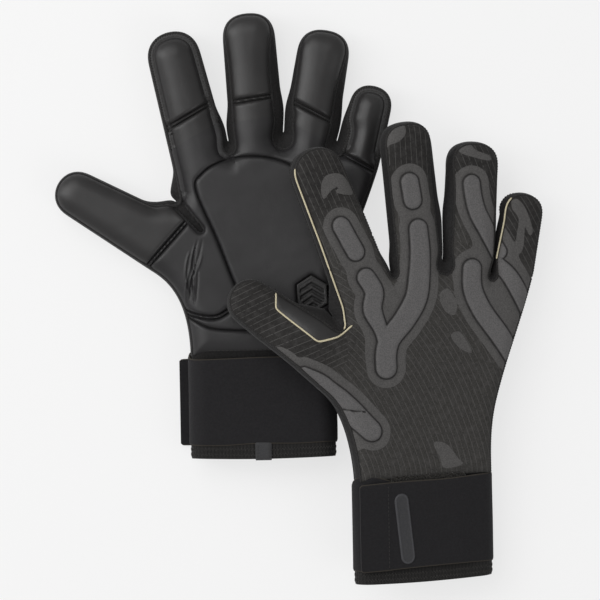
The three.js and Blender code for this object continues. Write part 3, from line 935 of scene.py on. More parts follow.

# %% [markdown]
# ## The back of the hand
# The back is a stretch knit laminated to thin foam. Flat zones of a lighter film are bonded
# to it, and on top of them stand foam ribs, each pressed down round its edge so that a groove
# outlines it; the groove is painted darker, as painted shade in its recess. Thin light lines
# are knitted into the bare knit. A rib is a line with a width: the distance to that line gives
# the height, the groove and the colour at any point, so its edge is as smooth as the line,
# whatever the net.

# %% Ribs, bonded zones and knitted lines
RIB_HEIGHT = 1.25
RIB_GROOVE = 0.75
BASE_DEPTH = 1.35  # how far the bare knit lies below the top of the ribs
BACK_ROUND = 9.5
BACK_EDGE = 5.6  # how far the back has turned down at its edge
BACK_THICK = 2.0
ZONE_MARGIN = 5.8  # how far a bonded zone reaches past its ribs

# Ribs on a finger: points (across, along) from its notch, with half widths.
FINGER_RIBS = {
    "index": [([(-0.8, 1.8), (1.8, -14.8)], [5.9, 5.9])],
    "middle": [([(-2.9, 16.0), (-2.2, 4.6)], [6.0, 6.0])],
    "ring": [([(-2.6, 25.5), (-0.8, 16), (2.6, 6.5), (9.6, -4.5), (17.5, -17.0)], [5.6, 5.7, 5.8, 5.8, 5.6])],
}
# Ribs on the hand: they start beside a finger, given as (finger, across, along), or at a
# point of the hand.
HAND_RIBS = {
    "index": ([("index", 2.2, -32.5), ("index", 3.8, -43), (-26.6, 175.0), (-22.0, 162.0), (-21.5, 151.0)],
              [6.0, 6.2, 6.2, 4.6, 2.4]),
    "middle": ([("middle", -0.6, -14.0), ("middle", -1.2, -30.0), (5.4, 194.0), (2.4, 180.0),
                (-6.0, 167.0), (-15.8, 156.2), (-19.2, 147.0), (-19.6, 137.5)],
               [6.2, 6.6, 7.0, 7.3, 7.3, 7.0, 7.0, 7.0]),
    "ring": ([(40.6, 196.5), (40.2, 183.5), (45.6, 169.6), (55.6, 154.4), (64.0, 141.0)],
             [6.2, 6.5, 6.5, 6.5, 6.3]),
    "little": ([(59.5, 197.0), (64.6, 191.0), (71.2, 179.0), (77.5, 165.5)], [4.6, 5.4, 5.6, 5.2]),
    "thumb": ([("thumb", -17.0, 17.0), ("thumb", -16.0, 6.0), (-56.0, 124.0), (-44.8, 112.6), (-33.0, 98.8)],
              [3.4, 5.6, 7.2, 7.4, 7.2]),
}
RIB_CROSSING = ([(-66.0, 118.5), (-60.0, 117.0), (-48.0, 113.0), (-35.0, 110.5)], 0.1)

FINGER_PATCHES = {
    "index": [(-5.0, 21.6), (2.0, 25), (8.5, 25.2), (4.0, 22.6), (14.4, 17.4), (13.7, 28.5), (9.7, 33.4),
              (1.6, 34.6), (-3.8, 29)],
    "middle": [(-14.5, 52), (-8, 54.2), (-2, 53), (-2.1, 46.7), (-7.3, 42.2), (-12.6, 40.9), (-15.4, 39)],
    "ring": [(-12, 49), (-7, 51), (-3.5, 50), (-0.1, 46.4), (8.7, 43.5), (8.2, 40.3), (-5, 42.6),
             (-10.6, 44.7)],
    "little": [(-9.7, 41.7), (-6, 43.4), (0.7, 37), (7, 25.4), (4.8, 22.4), (1.2, 28), (2.6, 14), (-0.4, 9),
               (-3, 18), (-3.8, 31), (-8.7, 36.6)],
}
HAND_PATCHES = [
    [(24, 155), (30, 157), (36, 148), (37, 143), (29, 147)],
    [(7, 88), (15.5, 86.5), (22, 77), (24.5, 72.8), (12, 71.2), (9.5, 79)],
    [(18, 181), (24, 185), (29, 176), (27.5, 168), (21, 171)],
    # Beside the thumb's rib the film runs out to the edge of the glove.
    [(-86, 152), (-74, 129), (-59, 107), (-51, 86), (-36, 92), (-46, 110), (-58, 124), (-70, 138),
     (-78, 150)],
]


def rib_distance(points, path, widths):
    """The distance to the edge of a rounded rib, negative inside it."""
    path = np.asarray(path, float)
    result = np.full(len(points), 1e9)
    for a, b, wa, wb in zip(path, path[1:], widths, widths[1:]):
        run = b - a
        t = np.clip(((points - a) @ run) / (run @ run), 0, 1)
        off = np.hypot(*(points - a - t[:, None] * run).T) - (wa + (wb - wa) * t)
        result = np.minimum(result, off)
    return result


def patch_distance(points, loop):
    loop = curve(loop, 0.8, closed=True)[:-1]
    d = distance(points, loop, True)
    return np.where(inside(points, loop), -d, d)


def rib_paths(glove):
    """Every rib of a glove as a smooth line on the pattern, with its half widths."""
    ribs = []
    for name, shapes in FINGER_RIBS.items():
        digit = glove.digits[name]
        ribs += [([digit.point(*p) for p in path], widths) for path, widths in shapes]
    for name, (path, widths) in HAND_RIBS.items():
        shift = glove.digits[name].at - GLOVES["right"].digits[name].at
        fades = np.linspace(0.8, 0.0, len(path))
        points = [glove.digits[p[0]].point(*p[1:]) if len(p) == 3 else np.array(p) + shift * fades[i]
                  for i, p in enumerate(path)]
        ribs.append((points, widths))
    smooth = []
    for path, widths in ribs:
        line = curve(path, 2.0)
        at = np.linspace(0, 1, len(path))
        run = np.linspace(0, 1, len(line))
        smooth.append((line, np.interp(run, at, widths)))
    return smooth


def back_fields(glove, points):
    """Distances to the nearest rib, to the nearest bonded zone, and to the line across the thumb's rib."""
    ribs = [rib_distance(points, path, widths) for path, widths in rib_paths(glove)]
    order = np.array(ribs)
    rib = order.min(0)
    ease = 3.0
    zone = -ease * np.log(np.exp(-np.clip(order, -30, 60) / ease).sum(0)) - ZONE_MARGIN
    for name, loop in FINGER_PATCHES.items():
        digit = glove.digits[name]
        zone = np.minimum(zone, patch_distance(points, [digit.point(*p) for p in loop]))
    for loop in HAND_PATCHES:
        zone = np.minimum(zone, patch_distance(points, loop))
    crossing = distance(points, curve(RIB_CROSSING[0])) - RIB_CROSSING[1]
    return rib, zone, crossing


def finger_shade(glove, points):
    """0 on the hand and 1 on the fingers, where the knit is darker."""
    shade = np.zeros(len(points))
    for digit in glove.digits.values():
        across, along = digit.seen(points)
        near = soft(digit.width(along) + 8 - np.abs(across), 0, 6)
        shade = np.maximum(shade, near * soft(along, -14, 26))
    return shade


LINE_CENTRE = np.array([-146.0, 54.0])  # the knitted lines of the hand are arcs about here
LINE_LEAN = {"thumb": 62, "index": 2, "middle": -3, "ring": 24, "little": 40}
LINE_SPACING = 3.45


def line_field(glove, points, name=None):
    """A value that grows by one from each knitted line to the next."""
    if name is None:
        return np.hypot(*(points - LINE_CENTRE).T) / LINE_SPACING
    across, along = glove.digits[name].seen(points)
    lean = math.radians(LINE_LEAN[name])
    return (across * math.cos(lean) + along * math.sin(lean)) / LINE_SPACING + 40


# %% Lift the back
def back_edge_line(glove):
    shrink = inset(glove, {"ring": 3.2, "middle": 0.8}, {"middle": 3.4, "ring": 0.8}, 1.3)
    return glove.outline - glove.out * shrink[:, None]


def back_heights(glove, places, edge, rib, crossing):
    """The height of the back's outer surface; lower values are further out."""
    top = glove.z["back"]
    d = distance(places, edge, True)
    turn = 1 - rise(d, BACK_ROUND)
    inside_rib = rise(-rib - 0.1, 2.4) * (crossing > 0) * rise(crossing, 1.2)
    groove = np.exp(-((rib - 0.35) / 0.75) ** 2) + 0.8 * np.exp(-(crossing / 0.6) ** 2) * (rib < 0)
    base = BASE_DEPTH + (BACK_EDGE - BASE_DEPTH) * turn
    height = base - RIB_HEIGHT * inside_rib * (1 - turn * 0.4) + RIB_GROOVE * groove
    return top + np.maximum(height, 0.0)


WRAP_LINE = [(20, 59.5), (10, 52.5), (5.1, 49.3), (4.0, 35), (3.1, 21), (13.5, 13), (18.3, 11), (25, 10)]
WRAP_THICK = 0.55  # the palm's latex rolls over the thumb's inner side and lies on the back
BACK_SEEDS = {"backhand_panel": (10, 130)}


def thumb_cut(glove):
    """The line that parts the thumb from the hand: along its notch, then up to the crotch."""
    thumb = glove.digits["thumb"]
    crotch = np.array(CROTCHES[glove.side]["thumb"])
    line = notch_line(thumb, 0)
    across, _ = thumb.seen(line)
    up = unit(thumb.along + glove.digits["index"].along)
    return relaxed(even([*line[across < 6], thumb.point(14, 6), crotch - up * 8, crotch + up * 5], 1.4), 4)


def build_back(glove):
    """The knit side: one panel for the hand, and one piece for each finger."""
    glove.back_edge = back_edge_line(glove)
    edge = np.vstack([glove.back_edge, closing(glove, glove.back_edge)])
    cuts = [thumb_cut(glove)] + [notch_line(glove.digits[name], CUT[name]) for name in DIGITS[1:]]
    paths = rib_paths(glove)

    def near_ribs(points):
        nearest = np.min([rib_distance(points, path, widths) for path, widths in paths], axis=0)
        return (nearest > -2.3) & (nearest < 1.5)

    thumb = glove.digits["thumb"]
    glove.wrap_line = relaxed(even([thumb.point(*p) for p in WRAP_LINE]), 2)
    places, triangles, walls = net(edge, cuts + [glove.wrap_line], fine=[(near_ribs, 0.75)])
    rib, zone, crossing = back_fields(glove, places)
    shade = finger_shade(glove, places)
    outer = back_heights(glove, places, edge, rib, crossing)
    rounded = 1 - rise(distance(places, edge, True), BACK_ROUND)
    inner = glove.z["back"] + BASE_DEPTH + BACK_THICK + rounded * 3.4
    inner = np.maximum(inner, outer + 0.5)
    seeds = dict(BACK_SEEDS, thumb_roll=thumb.point(9, 42))
    for name in DIGITS:
        seeds[f"{name}_back"] = glove.digits[name].point(0, glove.digits[name].reach * 0.6)
    parts = named_regions(places, triangles, walls, seeds)
    made = {}
    for name, part in parts.items():
        digit = glove.digits.get(name.split("_")[0])
        height = outer
        if name == "thumb_roll":
            height = outer - WRAP_THICK * rise(distance(places, glove.wrap_line), 1.4)
        fields = {"rib": rib, "zone": zone, "crossing": crossing, "shade": shade,
                  "line": line_field(glove, places, digit.name if digit else None)}
        title = "backhand_knit" if name == "backhand_panel" else name
        made[name] = lifted(glove, title, places, part, height, inner, digit, -1, fields)
    return made

# %% [markdown]
# ## Gussets and sewn edges
# Between the back and the palm runs a band of soft gusset, cut as strips: one along each
# side of the hand, and one from finger to finger through each crotch. Each strip is bowed
# outwards between its two seams. A rolled piping covers the seam where a finger has a
# gusset, and an overlock stitch, which is a ridge of thread loops, covers it elsewhere.

# %% Where the gussets reach, and the bands along the outline
BAND_ROWS = 9
BAND_THICK = 1.1
BOW = 0.45  # how far a gusset bows past the outline
WEB = {  # at each crotch: how far the web rises, and how far up the two fingers touch
    "left": {"thumb": (2, 3), "index": (6, 12), "middle": (6, 17), "ring": (6, 16)},
    "right": {"thumb": (9, 12), "index": (3, 3), "middle": (5, 28), "ring": (4, 24)},
}
TOUCH_FADE = 20.0


def rim_line(glove):
    """Where the middle of the bowed gusset lies at each point of the outline. Above each
    crotch the web is drawn up, and the sides of the two fingers bow out until they touch."""
    rim = glove.outline + glove.out * BOW
    run = np.concatenate([[0], np.cumsum(np.hypot(*np.diff(glove.outline, axis=0).T))])
    for name, after in zip(DIGITS, DIGITS[1:]):
        lift, touch = WEB[glove.side][name]
        crotch = np.array(CROTCHES[glove.side][name], float)
        up = unit(glove.digits[name].along + glove.digits[after].along)
        beside = np.array([up[1], -up[0]])
        middle = int(np.argmin(np.hypot(*(glove.outline - crotch).T)))
        s = np.abs(run - run[middle])
        near = np.flatnonzero(s < touch + TOUCH_FADE)
        u, v = ((glove.outline[near] - crotch) @ axis for axis in (up, beside))
        first, last = near <= middle, near >= middle
        raised = u + lift * (1 - soft(s[near], 0, 2.4 * lift))
        sides = [np.interp(raised, *np.array(sorted(zip(u[half], v[half]))).T) for half in (first, last)]
        centre = (sides[0] + sides[1]) / 2
        sign = np.sign(near - middle)
        weight = 1 - soft(s[near], touch, touch + TOUCH_FADE)
        across = v * (1 - weight) + (centre + sign * 0.28) * weight
        moved_to = crotch + np.outer(raised, up) + np.outer(across, beside)
        rim[near] = moved_to + glove.out[near] * (BOW * (1 - weight))[:, None]
    return relaxed(rim, 3)



def band_profile(glove, i, j):
    """The section of the gusset band at each point of a stretch, from the back to the palm."""
    low = glove.z["back"] + BACK_EDGE - 0.5
    high = glove.z["palm_in"] + 0.7
    back, palm, rim = glove.back_edge[i:j + 1], glove.palm_edge[i:j + 1], glove.rim[i:j + 1]
    bow = 2 * rim - (back + palm) / 2
    rows = []
    for t in np.linspace(0, 1, BAND_ROWS):
        line = back * (1 - t) ** 2 + bow * 2 * t * (1 - t) + palm * t * t
        rows.append(np.column_stack([line, np.full(len(line), low + (high - low) * t)]))
    return np.array(rows)


def build_band(glove, name, i, j, digit):
    outer = band_profile(glove, i, j)
    inward = np.column_stack([-glove.out[i:j + 1] * BAND_THICK, np.zeros(j + 1 - i)])
    inner = outer + inward[None]
    rows, columns = outer.shape[:2]
    count = rows * columns
    points = np.vstack([outer.reshape(-1, 3), inner.reshape(-1, 3)])
    at = lambda r, c, layer=0: layer * count + r * columns + c
    faces = []
    for r in range(rows - 1):
        for c in range(columns - 1):
            faces.append((at(r, c), at(r + 1, c), at(r + 1, c + 1), at(r, c + 1)))
            faces.append((at(r, c, 1), at(r, c + 1, 1), at(r + 1, c + 1, 1), at(r + 1, c, 1)))
    for c in range(columns - 1):
        faces.append((at(0, c), at(0, c + 1), at(0, c + 1, 1), at(0, c, 1)))
        faces.append((at(rows - 1, c), at(rows - 1, c, 1), at(rows - 1, c + 1, 1), at(rows - 1, c + 1)))
    for r in range(rows - 1):
        faces.append((at(r, 0), at(r, 0, 1), at(r + 1, 0, 1), at(r + 1, 0)))
        faces.append((at(r, columns - 1), at(r + 1, columns - 1), at(r + 1, columns - 1, 1),
                      at(r, columns - 1, 1)))
    title = f"{name}_side_band" if digit else f"{name}_band"
    wide = np.linalg.norm(np.diff(outer, axis=0), axis=2).sum(0).mean()
    long = np.linalg.norm(np.diff(outer, axis=1), axis=2).sum(1).mean()
    glove.strips[title] = (wide * MM, long * MM)
    return place(glove, title, points, faces, digit)


# %% Cords that follow a line
def frames_along(line):
    """Two unit vectors across the line at each point, turning as little as possible."""
    run = np.gradient(line, axis=0)
    run /= np.maximum(np.linalg.norm(run, axis=1), 1e-9)[:, None]
    u = np.cross(run[0], (0, 0, 1))
    if np.linalg.norm(u) < 0.1:
        u = np.cross(run[0], (0, 1, 0))
    us = []
    for t in run:
        u = u - t * (u @ t)
        u /= np.linalg.norm(u)
        us.append(u)
    us = np.array(us)
    return us, np.cross(run, us)


def cord_faces(rings, sides, base=0):
    faces = []
    for k in range(rings - 1):
        for s in range(sides):
            a, b = base + k * sides + s, base + k * sides + (s + 1) % sides
            faces.append((a, b, b + sides, a + sides))
    faces.append(tuple(base + s for s in range(sides))[::-1])
    faces.append(tuple(base + (rings - 1) * sides + s for s in range(sides)))
    return faces


def cord_points(line, radius, sides=8, twist=0.0, depth=0.0, flat=1.0):
    """A round cord along a line, with its ends drawn in. twist is the length of a turn of
    its thread in mm, and depth how far the thread stands out."""
    line = np.asarray(line, float)
    u, v = frames_along(line)
    run = np.concatenate([[0], np.cumsum(np.linalg.norm(np.diff(line, axis=0), axis=1))])
    ends = np.minimum(1, np.sqrt(np.maximum(0.12, np.minimum(run, run[-1] - run) / radius)))
    angles = np.linspace(0, 2 * math.pi, sides, endpoint=False)
    points = []
    for k in range(len(line)):
        swell = 1 + (depth * np.sin(2 * math.pi * run[k] / twist + angles) if twist else 0)
        r = radius * ends[k] * swell
        points.append(line[k] + np.outer(np.cos(angles) * r, u[k])
                      + np.outer(np.sin(angles) * r * flat, v[k]))
    return np.vstack(points), cord_faces(len(line), sides)


def build_cord(glove, name, line, radius, digit=None, **thread):
    points, faces = cord_points(line, radius, **thread)
    return place(glove, name, points, faces, digit)


STITCH_SIDES = 5


def stitch_row(line, length, gap, radius, normal=(0, 0, 1)):
    """Short stitches of thread along a line: each is a little cord that dips at its ends."""
    line = even(line, 0.25)
    per = max(4, int(length / 0.25))
    points, faces, count = [], [], 0
    for start in range(0, len(line) - per - 1, per + int(gap / 0.25)):
        piece = line[start:start + per + 1:max(1, per // 5)].copy()
        lift = np.sin(np.linspace(0, math.pi, len(piece))) - 0.6
        piece += np.outer(lift * radius, normal)
        made, loops = cord_points(piece, radius, STITCH_SIDES)
        faces += [tuple(i + count for i in loop) for loop in loops]
        points.append(made)
        count += len(made)
    return np.vstack(points), faces


def build_stitches(glove, name, lines, digit=None, length=2.2, gap=0.9, radius=0.22, normal=(0, 0, 1)):
    points, faces, count = [], [], 0
    for line in lines:
        made, loops = stitch_row(line, length, gap, radius, normal)
        faces += [tuple(i + count for i in loop) for loop in loops]
        points.append(made)
        count += len(made)
    return place(glove, name, np.vstack(points), faces, digit)


OVERLOCKED = ("index", "little")
PIPING = 0.95
OVERLOCK = 1.15


def build_edges(glove):
    """The piping or overlock that closes the seams of every stretch of the outline."""
    made = {}
    for name, i, j, digit in glove.stretches:
        palm = np.column_stack([glove.palm_edge[i:j + 1], np.full(j + 1 - i, glove.z["palm_in"] + 0.6)])
        level = np.full(j + 1 - i, glove.z["back"] + BACK_EDGE - 0.2)
        back = np.column_stack([glove.back_edge[i:j + 1], level])
        if digit is None or digit.name not in OVERLOCKED:
            made[f"{name}_palm_piping"] = build_cord(glove, f"{name}_palm_piping", even(palm, 1.2), PIPING,
                                                      digit)
        else:
            made[f"{name}_palm_overlock"] = build_cord(
                glove, f"{name}_palm_overlock", even(palm, 0.42), OVERLOCK, digit, twist=1.7, depth=0.22)
        made[f"{name}_back_overlock"] = build_cord(
            glove, f"{name}_back_overlock", even(back, 0.42), 0.85, digit, twist=1.7, depth=0.22)
    return made


# %% [markdown]
# ## Threads and foam edges
# The thread of the flange on the index and the little finger runs just inside their edge.
# Beside the seam of their backs the cut foam shows as a cream line. The heel has a row of
# topstitching, and where the thumb's latex is rolled over, its cut edge shows cream too.

# %% Topstitching and cream edges
CREAM = 0.55  # radius of a cream edge, in mm


def on_flange(glove, i, j, inward):
    line = glove.palm_edge[i:j + 1] - glove.out[i:j + 1] * inward
    return np.column_stack([line, np.full(len(line), glove.z["palm_in"] + 0.5 + FLANGE_HEIGHT)])


def foam_edge(glove, name, chosen, digit):
    """The cream edge of the foam beside the back's seam, along some points of the outline."""
    line = glove.back_edge[chosen] + glove.out[chosen] * 0.95
    height = np.full(len(line), glove.z["back"] + BACK_EDGE - 1.0)
    return build_cord(glove, f"{name}_foam_edge", even(np.column_stack([line, height]), 1.0), CREAM, digit)


def build_threads(glove):
    made = {}
    for name, i, j, digit in glove.stretches:
        if digit is None or digit.name not in OVERLOCKED:
            continue
        made[f"{name}_topstitch"] = build_stitches(
            glove, f"{name}_topstitch", [on_flange(glove, i + 1, j - 1, 1.75)], digit)
        across, along = digit.seen(glove.outline)
        chosen = [k for k in range(i, j + 1) if across[k] < -2 and along[k] < digit.reach + 9]
        made[f"{name}_foam_edge"] = foam_edge(glove, name, chosen, digit)
        if name == "index":  # it runs on down the side of the hand to the crotch of the thumb
            web, a, b, _ = glove.stretches[2]
            chosen = [k for k in range(a, b + 1) if across[k] < 0 and along[k] > -60]
            made[f"{web}_foam_edge"] = foam_edge(glove, web, chosen, None)
    thumb = glove.digits["thumb"]
    line = glove.wrap_line
    line = line[inside(line, np.vstack([glove.back_edge, closing(glove, glove.back_edge)]))]
    height = glove.z["back"] + BASE_DEPTH - 0.3 + (BACK_EDGE - BASE_DEPTH) * (
        1 - rise(distance(line, glove.back_edge), BACK_ROUND))
    made["thumb_wrap_edge"] = build_cord(
        glove, "thumb_wrap_edge", even(np.column_stack([line, height]), 1.0), CREAM, thumb)
    heel = np.array([(x, glove.z["wrist"] + 3.4) for x in np.linspace(-34, 38, 60)])
    d = distance(heel, np.vstack([glove.palm_edge, closing(glove, glove.palm_edge)]), True)
    low, high = glove.z["palm_in"], glove.z["palm"]
    heights = low + 0.6 + (high - low - 0.6) * rise(d, PUFF)
    made["heel_topstitch"] = build_stitches(glove, "heel_topstitch", [np.column_stack([heel, heights + 0.1])])
    return made

# %% [markdown]
# ## The rubber grip on the heel
# A small moulded hexagon sits in the padded middle, with a raised rim and nested ridges
# in the shape of a roof. It is one moulding, so its net is very fine and its height comes
# from two distances: to the rim, and to the ridges.

# %% Mould the grip
GRIP_RIM = 1.5
GRIP_PITCH = 4.3
GRIP_SLOPE = 0.62


def build_grip(glove):
    loop = grip_loop(glove, 0.6)
    loop = loop - normals(np.vstack([loop[-1], loop, loop[0]]))[1:-1] * 0.3
    places, triangles, _ = net(loop, [], rings=(0.3, 0.7, 1.1, 1.5), grid=0.55)
    centre = loop.mean(0)
    d = distance(places, loop, True)
    x, y = (places - centre).T
    roof = (y + np.abs(x) * GRIP_SLOPE) / GRIP_PITCH
    ridge = soft(np.abs((roof % 1) - 0.5), 0.20, 0.33)
    field = soft(d, GRIP_RIM + 0.3, GRIP_RIM + 0.9)
    top = glove.z["palm"] - 1.9
    outer = top + 1.0 * rise(d, 0.8) - field * (1 - ridge) * 0.95 - field * 0.1
    inner = np.full(len(places), top - 2.2)
    # The stored ridge value is 1 on the ridges and on the rim; the finish paints these lighter, as painted
    # highlight on their tops.
    return {"heel_grip_rubber": lifted(glove, "heel_grip_rubber", places, triangles, outer, inner,
                                       fields={"ridge": np.where(field > 0.5, ridge, 1.0)})}

# %% [markdown]
# ## The cuff
# The cuff is a knitted sleeve with a ribbed hem, and a wide elastic strap wraps it: it is sewn
# on at the back, goes round the thumb side and over the palm, and comes round the little
# side to lie flat over the back again, where hooks hold it to a patch of loops. Each is a
# sheet swept along its path round the wrist. A sheet keeps its place along and across the
# band at every point, so the weave can follow it round the turns.

# %% Sweep a sheet round the wrist
SIDE_RADIUS = 10.85
SIDE_MIDDLE = 14.15
SIDE_RUN = 35.95


def corner(centre_x, radius, start, end, steps=18):
    """A turn round one side of the wrist, as (x, z)."""
    angles = np.linspace(math.radians(start), math.radians(end), steps)
    return [(centre_x + radius * math.cos(a), SIDE_MIDDLE + radius * math.sin(a)) for a in angles]


def ring_path(radius, step=1.2):
    """A closed path round the wrist, from the middle of the back by the thumb side."""
    line = [(0, SIDE_MIDDLE - radius), *corner(-SIDE_RUN, radius, 270, 90),
            *corner(SIDE_RUN, radius, 90, -90), (0, SIDE_MIDDLE - radius)]
    return even(line, step)[:-1]


def sheet_along(glove, name, path, low, high, thick, rows, closed=False, wave=0.0, ribs=None):
    """A sheet swept along path, a line of (x, z) round the wrist. low and high are the
    sheet's edges at each point of the path. A positive wave lets it undulate."""
    path = np.asarray(path, float)
    n = len(path)
    ring = np.vstack([path[-1], path, path[0]]) if closed else path
    side = normals(ring)
    side = side[1:-1] if closed else side
    steps = np.linalg.norm(np.diff(np.vstack([path, path[:1]]), axis=0), axis=1)
    run = np.concatenate([[0], np.cumsum(steps)[:-1]])
    across = np.linspace(0, 1, rows)
    from_edge = np.minimum(across, 1 - across) * np.mean(high - low)
    fullness = np.minimum(1, np.sqrt(np.clip(from_edge / 0.9, 0.25, 1)))
    layers = []
    for sign in (1, -1):
        grid = []
        for t, full in zip(across, fullness):
            y = low + (high - low) * t
            lift = wave * (np.sin(run / 13.0 + 5 * t) * np.sin(3.1 * t + run / 37)
                           + 0.4 * np.sin(run / 6.1 - 9 * t))
            bump = ribs(run, y) if ribs is not None and sign == 1 else 0
            off = side * (sign * thick / 2 * full + lift + bump)[:, None]
            grid.append(np.column_stack([path[:, 0] + off[:, 0], y, path[:, 1] + off[:, 1]]))
        layers.append(np.array(grid))
    points = np.vstack([layer.reshape(-1, 3) for layer in layers])
    count = rows * n
    at = lambda r, c, layer=0: layer * count + r * n + c % n
    faces = []
    for c in range(n if closed else n - 1):
        for r in range(rows - 1):
            faces.append((at(r, c), at(r, c + 1), at(r + 1, c + 1), at(r + 1, c)))
            faces.append((at(r, c, 1), at(r + 1, c, 1), at(r + 1, c + 1, 1), at(r, c + 1, 1)))
        faces.append((at(0, c), at(0, c, 1), at(0, c + 1, 1), at(0, c + 1)))
        faces.append((at(rows - 1, c), at(rows - 1, c + 1), at(rows - 1, c + 1, 1), at(rows - 1, c, 1)))
    if not closed:
        for r in range(rows - 1):
            faces.append((at(r, 0), at(r + 1, 0), at(r + 1, 0, 1), at(r, 0, 1)))
            faces.append((at(r, n - 1), at(r, n - 1, 1), at(r + 1, n - 1, 1), at(r + 1, n - 1)))
    thing = place(glove, name, points, faces)
    wide = np.mean(high - low)
    fields = {"run": np.tile(run, rows), "across": np.repeat(across * wide, n),
              "edge": np.repeat(np.minimum(across, 1 - across) * wide, n)}
    for field, values in fields.items():
        data = thing.data.attributes.new(field, "FLOAT", "POINT").data
        data.foreach_set("value", np.tile(values, 2).astype(np.float32))
    return thing


# %% Sleeve, hem and pull tab
SLEEVE_RADIUS = 8.7
SLEEVE_THICK = 1.4
SLEEVE_LOW = 7.0
SLEEVE_HIGH = 71.0
HEM_RADIUS = 9.75
HEM_PITCH = 2.3
HEM_THICK = 1.7
HEM_HIGH = 12.5
ZIGZAG_LEVELS = (2.7, 6.0)
TAB_THICK = 0.9
TAB_LOW = -0.9
TAB_HIGH = 10.5


def hem_low(glove, x):
    """The hem's lower edge: it hangs a little lower in the middle of the back."""
    return 0.9 - 1.0 * np.cos(np.clip(x / 46, -1, 1) * math.pi / 2)


def hem_ribs(run, y):
    return 0.09 * np.abs(np.sin(math.pi * run / HEM_PITCH)) ** 0.7


def zigzag(glove, radius, y, height, pitch):
    """A row of zigzag thread round the hem."""
    path = ring_path(radius, pitch / 2)
    levels = y + height / 2 * np.where(np.arange(len(path)) % 2 == 0, 1, -1)
    low = hem_low(glove, path[:, 0])
    return np.column_stack([path[:, 0], levels + low, path[:, 1]])


def build_cuff(glove):
    made = {}
    sleeve = ring_path(SLEEVE_RADIUS, 1.6)
    made["sleeve_knit"] = sheet_along(
        glove, "sleeve_knit", sleeve, np.full(len(sleeve), SLEEVE_LOW), np.full(len(sleeve), SLEEVE_HIGH),
        SLEEVE_THICK, 14, closed=True)
    path = ring_path(HEM_RADIUS, 0.42)
    low = hem_low(glove, path[:, 0])
    made["hem_rib"] = sheet_along(glove, "hem_rib", path, low, np.full(len(path), HEM_HIGH), HEM_THICK, 9,
                                  closed=True, ribs=hem_ribs)
    for number, y in enumerate(ZIGZAG_LEVELS):
        line = zigzag(glove, HEM_RADIUS + HEM_THICK / 2 + 0.12, y, 1.5, 1.9)
        points, faces = cord_points(line, 0.26, 5)
        made[f"hem_zigzag_{number + 1}"] = place(glove, f"hem_zigzag_{number + 1}", points, faces)
    low, high = glove.extent("pull_tab")
    top = SIDE_MIDDLE + HEM_RADIUS + HEM_THICK / 2 + 0.75
    across = np.linspace(low[0], high[0], 16)
    path = np.column_stack([across, np.full(16, top)])
    path[[0, -1], 1] -= 0.35
    made["tab_tape"] = sheet_along(glove, "tab_tape", path, np.full(16, TAB_LOW), np.full(16, TAB_HIGH),
                                   TAB_THICK, 12)
    lines = [np.column_stack([np.full(20, x), np.linspace(0.6, 10, 20), np.full(20, top + 0.5)])
             for x in (low[0] + 0.7, low[0] + 1.6, high[0] - 1.6, high[0] - 0.7)]
    lines.append(np.column_stack([np.linspace(low[0] + 1.6, high[0] - 1.6, 20), np.full(20, 0.6),
                                  np.full(20, top + 0.5)]))
    made["tab_stitches"] = build_stitches(glove, "tab_stitches", lines, length=1.5, gap=0.8, radius=0.16)
    return made


# %% Strap, flap, loops and badge
STRAP_THICK = 1.9
FLAP_HEIGHT = 1.15
FLAP_SEAM = -26.5
FLAP_STEP = 0.3


def build_strap(glove):
    made = {}
    low, high = glove.extent("strap")
    path = even([(-24.5, SIDE_MIDDLE - SIDE_RADIUS + 0.5), (-SIDE_RUN, SIDE_MIDDLE - SIDE_RADIUS),
                 *corner(-SIDE_RUN, SIDE_RADIUS, 270, 90), *corner(SIDE_RUN, SIDE_RADIUS, 90, 0)], 1.2)
    beside = soft(SIDE_RUN * 2 + 16 - np.arange(len(path)) * 1.2, 46, 70)
    on_back = (path[:, 1] < SIDE_MIDDLE) & (path[:, 0] < 0)
    raised = np.where(on_back, 5.4 * soft(-path[:, 0], 20, 40) + 0.8, 0) * beside
    raised = relaxed(raised[:, None], 30)[:, 0]
    x = path[:, 0]
    upper = high[1] + 0.5 * np.sin(x / 17 + 1) + raised
    lower = low[1] + 0.4 * np.sin(x / 21) + 0.35 * np.sin(x / 8 + 2)
    made["strap_elastic"] = sheet_along(glove, "strap_elastic", path, lower, upper, STRAP_THICK, 40,
                                        wave=0.16)

    low, high = glove.extent("strap_flap")
    path = even([*corner(SIDE_RUN, SIDE_RADIUS, 0, -90), (30, 2.5), (24, FLAP_HEIGHT + 0.3),
                 (18, FLAP_HEIGHT),
                 (FLAP_SEAM + 1.0, FLAP_HEIGHT), (FLAP_SEAM, FLAP_HEIGHT - FLAP_STEP),
                 (low[0], FLAP_HEIGHT - FLAP_STEP)], 1.2)
    x = path[:, 0]
    end = soft(-x, -low[0] - 1.6, -low[0])  # the corners of the flap's end are rounded off
    upper = high[1] + 0.6 * np.sin(x / 19 + 2.4) + 2.2 * soft(x, 0, 46) - 1.2 * end
    lower = low[1] + 0.5 * np.sin(x / 16 + 1.1) + 0.8 * soft(x, 0, 46) + 1.2 * end
    made["flap_elastic"] = sheet_along(glove, "flap_elastic", path, lower, upper, STRAP_THICK - 0.3, 40,
                                       wave=0.1)

    seam = [np.column_stack([np.full(60, x), np.linspace(low[1] + 1.5, high[1] - 1.5, 60),
                             np.full(60, FLAP_HEIGHT - FLAP_STEP - STRAP_THICK / 2 + 0.12)])
            for x in (FLAP_SEAM - 0.9,)]
    made["flap_stitches"] = build_stitches(glove, "flap_stitches", seam, length=1.9, gap=0.8, radius=0.15,
                                           normal=(0, 0, -1))
    return made


LOOP_RISE = 3.8  # how far the loop patch shows above the strap
LOOP_CORNER = 2.5


